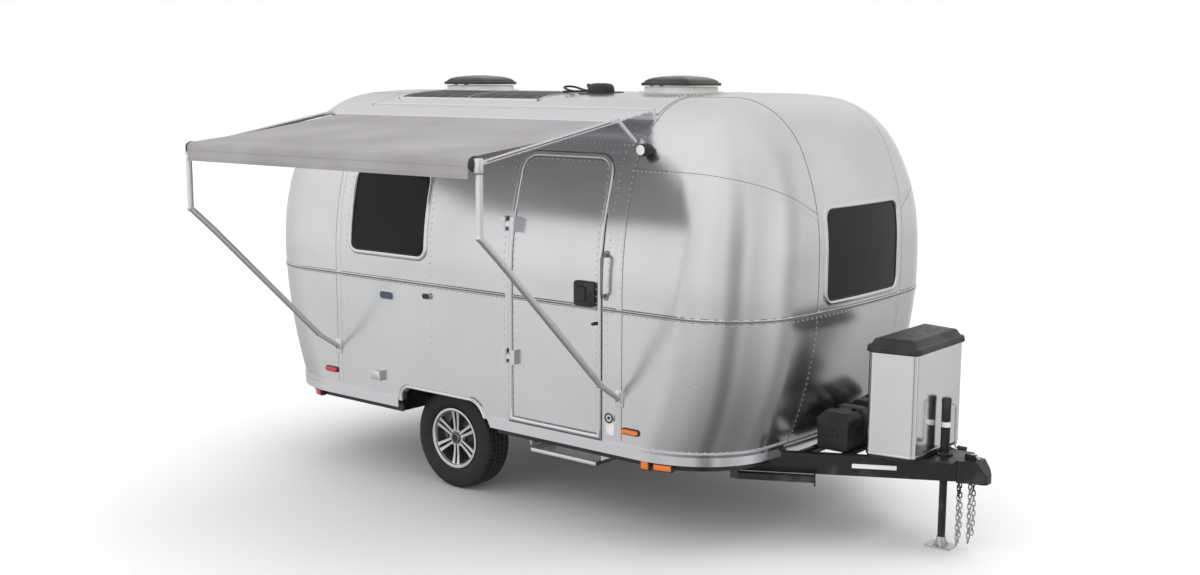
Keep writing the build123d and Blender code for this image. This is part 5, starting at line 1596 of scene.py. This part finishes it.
foot_parts.append(on_jack([(5, 24), (5, 31), (12, 30), (60, 30), (63, 28.5), (63, 24)], steps=32))
for a in (45, 135, 225, 315):
    dx, dy = math.cos(math.radians(a)), math.sin(math.radians(a))
    web = [[(JACK_X + r * dx + s * dy, r * dy - s * dx, z) for r, z in ((29, 6), (29, 40), (52, 6))]
           for s in (-2, 2)]
    foot_parts.append(loft(web))
make("jack_foot_plate", foot_parts, zinc, "jack_foot", angle=35)
crank_path = softened([(JACK_X + 28, 0, 905), (JACK_X + 62, 0, 905), (JACK_X + 66, 0, 640),
                       (JACK_X + 100, 0, 640)], 14)
make("jack_crank_rod", [sweep(crank_path, disc(5.9), (0, 1, 0))], zinc, node="jack_crank")
grip = [(-28, 8), (-28, 12), (-25, 13.8), (-14, 13.2), (-8, 12), (0, 13.6), (8, 12), (14, 13.2), (25, 13.8),
        (28, 12), (28, 3)]
make("jack_crank_grip", [lathe(grip, (JACK_X + 112, 0, 640), "x", 24)], plastic, angle=50)
print("jack made at station", JACK_X)

# %% Chains
LINK_LONG, LINK_WIDE, WIRE = 44, 26, 7
LINK_PITCH = LINK_LONG - 2 * WIRE + 1
reach, bend = LINK_LONG / 2 - LINK_WIDE / 2, LINK_WIDE / 2 - WIRE / 2
link = [(bend * math.cos(a), reach + bend * math.sin(a)) for a in np.linspace(0, math.pi, 7)]
link += [(-a, -b) for a, b in link]
wire_round = disc(WIRE / 2 + 0.4, 8)
zinc_links, black_links = [], []
for x, y, count, painted in ((2997, -24, 13, 3), (3040, 46, 13, 2)):
    for k in range(count):
        level = BALL_LEVEL - 22 - LINK_LONG / 2 - 0.2 - k * LINK_PITCH
        lean = 0.06 * math.sin(k * 2.1 + x)
        if k % 2:
            path = [(x + a, y + lean, level + b) for a, b in link]
        else:
            path = [(x + lean, y + a, level + b) for a, b in link]
        group = black_links if k < painted else zinc_links
        group.append(sweep(path, wire_round, (0, 1, 0) if k % 2 else (1, 0, 0), ring=True))
for x, y, count in ((3018, -54, 12), (3064, 34, 11)):
    for k in range(count):
        level = BALL_LEVEL - 24 - LINK_LONG / 2 - k * LINK_PITCH
        turn = math.radians(35 + 90 * (k % 2))
        bow = 9 * math.sin(math.pi * k / count)
        path = [(x + bow + a * math.cos(turn), y + a * math.sin(turn), level + b) for a, b in link]
        group = black_links if k < 3 else zinc_links
        group.append(sweep(path, wire_round, (-math.sin(turn), math.cos(turn), 0), ring=True))
make("chain_links", zinc_links, zinc, node="safety_chains", angle=60)
make("chain_upper_links", black_links, paint, angle=60)
print("chain links:", len(zinc_links) + len(black_links))

# %% Coupler and what is bolted to the tongue
extras = []
for x, half in ((3030, 66), (3075, 62)):
    for side in (-1, 1):
        nut = [(0, 0.5), (0, 7.5), (5, 7.5), (6, 5.5), (6, 0.5)]
        extras.append(lathe(nut, (x, side * half, 540), "y", 6, sign=side))
extras.append(sweep(softened([(3030, 0, 600), (3062, 0, 612), (3096, 0, 604), (3112, 0, 588)], 14),
                    slab(22, 9, 3)))
make("coupler_bolts", extras, zinc, angle=30)
plate_points = []
for along_rail, level in ((2465, 505), (2700, 505), (2700, 532), (2465, 532)):
    plate_points.append((along_rail, -(440 - (along_rail - 2380) * 0.544), level))
out = np.array((0.478, -0.878, 0))
plate = loft([[np.array(p) + high * out for p in plate_points] for high in (-0.3, 1.4)])
make("tongue_plate", [plate], tag_white)
print("tongue dressed")

# %% [markdown]
# ## Wheels
# A trailer tyre has straight ribs with short cuts across them and a plain sidewall. The alloy
# wheel has six pairs of spokes: their faces are turned bright and the pockets between are grey.

# %% Tyre and wheel
WHEEL_X, WHEEL_Y, WHEEL_LEVEL = -300, 968, 357
TREAD = [
    # across, radius, whether the tread's cuts go through here
    (-88, 206, 0), (-88, 215, 0), (-96, 222, 0), (-106, 240, 0), (-112, 262, 0), (-112.3, 285, 0),
    (-110, 308, 0), (-104, 330, 0), (-97, 344, 0), (-91, 350, 1), (-80, 353.5, 1), (-66, 355.6, 1),
    (-62, 356, 0), (-61, 347, 0), (-54, 347, 0), (-53, 356.4, 0), (-38, 356.9, 1), (-24, 357, 1),
    (-22, 357, 0), (-21, 347.5, 0), (-14, 347.5, 0), (-13, 357, 0), (0, 357, 1),
]


def on_wheel(radius, turn, side, across, aside=0.0):
    """A place on a wheel, from its radius and turn, and how far it lies out from the wheel's middle."""
    c, s = math.cos(turn), math.sin(turn)
    return WHEEL_X + radius * c - aside * s, side * (WHEEL_Y + across), WHEEL_LEVEL + radius * s + aside * c


def tyre(side):
    """The tread's cuts are narrow low columns between wide high ones."""
    profile = TREAD + [(-t, r, c) for t, r, c in reversed(TREAD[:-1])]
    loops, pitches = [], 64
    for k in range(pitches):
        for share, low in ((0.0, 0), (0.42, 0), (0.80, 0), (0.83, 1), (0.97, 1)):
            turn = 2 * math.pi * (k + share) / pitches
            loop = []
            for t, r, cut in profile:
                skew = 0.012 * math.copysign(1, t) if cut else 0
                radius = r - (6.5 if low and cut else 0)
                loop.append(on_wheel(radius, turn + skew, side, t))
            loops.append(loop)
    return loft(loops, ring=True)


def tapered_spoke(turn, side, offset, face_only=False):
    """One spoke of a pair, from the hub out to the rim."""
    loops = []
    for r, wide, t in ((44, 19, 74), (80, 19, 73), (130, 21, 75), (175, 26, 80), (197, 36, 85)):
        half = wide / 2
        centre = offset * (0.62 + 0.5 * (r - 44) / 153)
        flat_half = half - 2.2
        if face_only:
            shape = [(-flat_half, t - 0.4), (-flat_half, t + 0.5), (flat_half, t + 0.5), (flat_half, t - 0.4)]
        else:
            shape = [(-half, t - 26), (-half, t - 1), (-flat_half, t), (flat_half, t), (half, t - 1),
                     (half, t - 26)]
        loops.append([on_wheel(r, turn, side, across, centre + aside) for aside, across in shape])
    return loft(loops)


WELL = [(-93, 188), (-93, 213), (-88.4, 214), (-88.4, 200), (88.4, 200), (88.4, 206), (84, 196), (80, 186),
        (60, 184), (0, 184)]
FLANGE = [(86, 197), (90, 205), (96.5, 213.5), (97, 211), (97, 200), (93, 194), (86, 191), (84.5, 194)]
for word, side in (("left", 1), ("right", -1)):
    body = "wheel_" + word
    hub = (WHEEL_X, side * WHEEL_Y, WHEEL_LEVEL)
    make("tread_" + word, [tyre(side)], tyre_rubber, body, "tyre_" + word, angle=28)
    grey = [lathe(WELL, hub, "y", 72, True, side)]
    grey.append(lathe([(40, 0.5), (40, 66), (58, 68), (66, 62), (70, 46), (70, 0.5)], hub, "y", 48,
                      sign=side))
    faces_bright = [lathe(FLANGE, hub, "y", 72, True, side)]
    for k in range(6):
        turn = math.radians(90 + 60 * k)
        for offset in (-21, 21):
            grey.append(tapered_spoke(turn, side, offset))
            faces_bright.append(tapered_spoke(turn, side, offset, True))
        nut_turn = turn + math.radians(30)
        nut = on_wheel(57, nut_turn, side, 0)
        faces_bright.append(lathe([(66, 0.5), (66, 10), (74, 9.5), (78, 6), (79, 0.5)], nut, "y", 6,
                                  sign=side))
        grey.append(block(on_wheel(150, nut_turn, side, 52), (2, 2, 2), 0.4))
    grey.append(lathe([(70, 0.5), (70, 38), (80, 37), (86, 31), (88, 20), (88, 0.5)], hub, "y", 40,
                      sign=side))
    make("wheel_grey_" + word, grey, wheel_dark, body, "rim_" + word, angle=30)
    make("wheel_bright_" + word, faces_bright, wheel_cut, body, angle=30)
    cap = lathe([(87.8, 0.5), (87.8, 27), (90.5, 25), (91.5, 0.5)], hub, "y", 32, sign=side)
    make("wheel_cap_" + word, [cap], plastic, body)
    stem = [(60, 0.5), (60, 4), (84, 4), (85, 2.6), (92, 2.6), (92, 0.5)]
    valve = lathe(stem, on_wheel(176, 1.1, side, 0), "y", 10, sign=side)
    make("valve_" + word, [valve], rubber, body)
print("wheels made")

# %% [markdown]
# ## Arch lips, lamps and small fittings
# The wheel openings have a wide bright lip with a bead along each edge. Lamps are ribbed lenses on
# black bases. The oval badge is a blank plate.

# %% Arch lips
LIP = [(0, -1), (0, 8), (3, 12), (7, 13.4), (11, 11), (14, 8), (24, 8), (27, 11), (30, 12), (33, 9), (34, -1)]
lips = []
for side in (-1, 1):
    lines = [[(x, side * (HALF_WIDTH + high), level) for x, level in arch_loop(grow)] for grow, high in LIP]
    lips.append(loft([list(across) for across in zip(*lines)]))
make("arch_lips", lips, bright, node="wheel_arch_trims", angle=40)
print("arch lips:", len(lips))

# %% Lamps


def wall_block(side, loop, heights):
    """A shape on a flank that grows out of the skin: (grow, height) layers round a loop."""
    loops = []
    for grow, high in heights:
        ring_points = []
        for x, z in loop(grow):
            hit = touch((x, 0, z), (0, side, 0))
            ring_points.append(hit[0] + (0, side * high, 0))
        loops.append(ring_points)
    return loft(loops)


def oval(cx, cz, wide, tall):
    def loop(grow):
        return rounded(cx, cz, wide + 2 * grow, tall + 2 * grow, tall / 2 + grow - 0.01, 8)
    return loop


def plate_shape(cx, cz, wide, tall, corner):
    def loop(grow):
        return rounded(cx, cz, wide + 2 * grow, tall + 2 * grow, corner + grow, 5)
    return loop


def tail_plate(side, layers):
    """A lamp's shape on the rear end wall, from (grow, height) layers."""
    loops = []
    for grow, high in layers:
        loop = rounded(side * 620, 860, 190 + 2 * grow, 74 + 2 * grow, 36 + grow, 8)
        loops.append([on_wall("rear", y, z, high) for y, z in loop])
    return loft(loops)


amber_parts, red_parts, base_parts = [], [], []
for side in (-1, 1):
    for group, x, level in ((amber_parts, 1395, 718), (red_parts, -1395, 732)):
        base_parts.append(wall_block(side, oval(x, level, 142, 42), [(0, -1), (0, 7), (-2, 9)]))
        group.append(wall_block(side, oval(x, level, 126, 30),
                                [(0, 6), (0, 15), (-3, 20), (-8, 23), (-13, 23.5)]))
    base_parts.append(tail_plate(side, [(0, -1), (0, 8), (-2, 10)]))
    red_parts.append(tail_plate(side, [(-8, 8), (-8, 17), (-11, 22), (-16, 25), (-22, 25.5)]))
low_parts = []
for x, wide, tall, group in ((1500, 52, 52, amber_parts), (1622, 116, 36, amber_parts),
                             (-1582, 60, 34, red_parts)):
    flank, out = on_side(x, 640, -1)
    turned = math.degrees(math.atan2(out[0], -out[1]))
    middle = flank * (1, 1, 0) - out * (30, 30, 0) + (0, 0, 528)
    low_parts.append(block(middle, (wide + 16, 40, tall + 18), 6, (0, 0, turned)))
    group.append(block(middle + out * (24, 24, 0), (wide, 14, tall), 6, (0, 0, turned)))
make("low_lamp_boxes", low_parts, plastic, angle=40)
make("amber_lenses", amber_parts, amber, node="lamps_amber", angle=40)
make("red_lenses", red_parts, red, node="lamps_red", angle=40)
make("lamp_bases", base_parts, plastic, angle=40)
PORCH_X, PORCH_LEVEL, PORCH_END = 1382, 2434, 1135
y0 = touch((PORCH_X, 0, PORCH_LEVEL), (0, -1, 0))[0][1]
barrel_lamp = [(-60, 20), (0, 24), (12, 36), (20, 38), (PORCH_END + y0 - 6, 38), (PORCH_END + y0 - 2, 36)]
lamp_body = lathe(barrel_lamp, (PORCH_X, y0 + 6, PORCH_LEVEL), "y", 32, sign=-1)
make("porch_lamp_body", [lamp_body], plastic, node="porch_lamp", angle=40)
lamp_lens = lathe([(0, 31), (2, 31), (3.5, 26), (4, 0.5)], (PORCH_X, 4 - PORCH_END, PORCH_LEVEL), "y", 28,
                  sign=-1)
make("porch_lamp_lens", [lamp_lens], tag_white)
print("amber lenses:", len(amber_parts), "red lenses:", len(red_parts))

# %% Fittings on the walls
handle_path = softened([(1196, -1216, 1536), (1196, -1270, 1548), (1196, -1270, 1782), (1196, -1206, 1796)],
                       20)
handle_parts = [sweep(handle_path, disc(9, 14), (1, 0, 0))]
for level in (1534, 1798):
    foot = (1196, on_side(1196, level, -1)[0][1], level)
    handle_parts.append(lathe([(-2, 0.5), (-2, 22), (3, 22), (6, 19), (7, 0.5)], foot, "y", 24, sign=-1))
make("handle_bar", handle_parts, wheel_dark, node="grab_handle", angle=40)
lock_parts = [wall_block(-1, plate_shape(1035, 1541, 166, 156, 20), [(0, 1), (0, 17), (-2, 20), (-5, 21.5)])]
lock_parts.append(wall_block(-1, plate_shape(1015, 1541, 74, 92, 14),
                             [(0, 20), (0, 30), (-3, 33), (-8, 33.6)]))
lock_parts.append(wall_block(-1, oval(1084, 1541, 22, 22), [(0, 20), (0, 27), (-3, 29)]))
lock_parts.append(lathe([(0, 11), (30, 11), (38, 8), (40, 0.5)], (1118, -1226.5, 1361), "y", 18, sign=-1))
make("door_lock_case", lock_parts, plastic, "door", "door_lock", angle=40)
fitting = wall_block(-1, oval(-376, 1379, 74, 40), [(0, 15), (-2, 18), (-8, 18.5)])
make("oval_fitting", [fitting], plastic, angle=40)
badge = wall_block(-1, oval(-788, 1344, 150, 62), [(0, -1), (0, 2.5), (-3, 4), (-5, 4)])
make("badge_rim", [badge], bright, angle=40)
badge = wall_block(-1, oval(-788, 1344, 140, 52), [(0, 3.5), (-1, 4.6), (-6, 4.8)])
make("badge_face", [badge], enamel, angle=40)
inlet_at = (1232, -HALF_WIDTH, 782)
inlet = [lathe([(10, 34), (13, 33), (14, 30), (14, 24), (11, 22), (11, 0.5)], inlet_at, "y", 32, sign=-1)]
inlet.append(lathe([(10, 0.5), (16, 9), (17, 0.5)], inlet_at, "y", 20, sign=-1))
make("inlet_cap", inlet, plastic, angle=40)
label = wall_block(-1, plate_shape(1232, 722, 62, 96, 5), [(0, -0.6), (0, 0.7), (-1, 0.9)])
make("blank_label", [label], tag_white)
cover_lid = [wall_block(-1, plate_shape(-891, 760, 92, 66, 8), [(0, 33), (-1, 36), (-5, 38)])]
cover_lid.append(block((-891, -1266, 794), (60, 8, 6), 2))
make("outlet_lid", cover_lid, rail_metal, angle=40)
latch_parts, panel_lines = [], []
for x, z, wide, tall in ((-300, 1180, 420, 300), (1010, 1310, 330, 150), (-1010, 830, 300, 300)):
    raised = plate_shape(x, z, wide - 30, tall - 30, 14)
    panel_lines.append(wall_block(1, raised, [(0, 12), (0, 15), (-3, 16.5), (-9, 16.5)]))
    for end in (-1, 1):
        latch_at = (x + end * (wide / 2 - 40), HALF_WIDTH, z - tall / 2 + 30)
        latch_parts.append(lathe([(10, 0.5), (10, 9), (19, 9), (20.5, 7), (20.5, 0.5)], latch_at, "y", 16))
for k in range(7):
    panel_lines.append(block((-300, 1243, 1085 + 32 * k), (330, 5, 9), 2, (20, 0, 0)))
make("service_doors", panel_lines, skin, angle=40)
make("service_latches", latch_parts, rail_metal, angle=40)
print("wall fittings made, latches:", len(latch_parts))

# %% Step treads
STEP_X, STEP_Y = 770, -1027.5
tread = [block((STEP_X, -1126 + k * 24.6, 442), (548, 14, 7.6), 1.5) for k in range(9)]
tread.append(block((STEP_X, STEP_Y, 431), (552, 216, 14), 4))
tread.append(block((STEP_X, -1134.5, 433), (556, 9, 24), 3))
make("step_board_ribs", tread, rail_metal, "step_board", "step_tread", angle=30)
board_ends = [block((STEP_X + dx, STEP_Y, 433), (6, 222, 25), 2.5) for dx in (-279, 279)]
board_ends += [block((STEP_X + dx, -911, 448), (5.6, 25, 48), 2) for dx in (-279, 279)]
make("step_board_ends", board_ends, plastic, "step_board", angle=30)
print("step board pieces:", len(tread) + len(board_ends))

# %% [markdown]
# ## Floor and light
# The object stands on a plain pale floor in soft light. The camera sees white behind it. Polished
# metal shows what stands round it, so mirror rays see a studio of pale walls with soft upright
# bands, and these draw the long highlights on the rounded ends. A wide soft lamp makes the shadow.

# %% Stage
floor_finish = Finish("pale floor", (0.88, 0.88, 0.88), 0.9)
floor_finish.mottle(0.5, 0.1, 0.85)
FAR = 60000
floor_corners = [(-FAR, -FAR, 0), (FAR, -FAR, 0), (FAR, FAR, 0), (-FAR, FAR, 0)]
ground = mesh_object("floor_plane", floor_corners, None, [[0, 1, 2, 3]], floor_finish)
ground.visible_glossy = False
world = bpy.data.worlds.new("studio")
world.use_nodes = True
bpy.context.scene.world = world
studio = Tree(world.node_tree, "Background")
direction = studio.node("ShaderNodeTexCoord", out=0)
turn = studio.part_of(direction, "Y").op("ARCTAN2", studio.part_of(direction, "X")) / (2 * math.pi) + 0.5
# Brightness of the studio's walls, by share of a turn from the rear by way of the right side
ROUND = [(0.0, 0.80), (0.08, 0.90), (0.15, 1.0), (0.20, 0.88), (0.25, 0.98), (0.31, 0.86), (0.33, 1.0),
         (0.352, 0.42), (0.385, 0.34),
         (0.405, 1.0), (0.43, 0.66), (0.50, 0.86), (0.545, 0.96), (0.575, 0.56), (0.605, 0.62),
         (0.65, 0.86), (0.72, 0.70),
         (0.80, 0.90), (0.88, 0.70), (1.0, 0.80)]
walls_round = studio.node("ShaderNodeValToRGB", {"stops": ROUND}, {0: turn})
height = studio.part_of(direction, "Z")
drift = studio.noise(1.7, 1.0, direction)
low = (0 - height).ramp(0.04, 0.62)
ceiling = 0.84 - studio.part_of(direction, "Y") * 0.12 - studio.part_of(direction, "X") * 0.10
share = height.ramp(0.12, 0.92)
walls = walls_round * (0.93 - low * 0.66) + (drift - 0.5) * 0.16
mirror_light = walls * (1 - share) + ceiling * share
rays = studio.node("ShaderNodeLightPath")
glossy_ray = Link(studio, rays.socket.node.outputs["Is Glossy Ray"])
through_ray = Link(studio, rays.socket.node.outputs["Is Transmission Ray"])
plain = (rays + through_ray).clamp()
diffuse_light = (1 - (plain + glossy_ray).clamp()) * 1.18
studio.set("Strength", plain * 1.0 + glossy_ray * mirror_light + diffuse_light)
studio.set("Color", (1.0, 1.0, 1.0))
lamp = bpy.data.lights.new("overhead", "SUN")
lamp.energy = 0.5
lamp.angle = math.radians(35)
overhead = bpy.data.objects.new("overhead", lamp)
overhead.rotation_euler = (math.radians(-14), math.radians(10), 0)
bpy.context.collection.objects.link(overhead)
overhead.visible_glossy = False
bpy.context.scene.view_settings.view_transform = "Standard"
print("stage set")
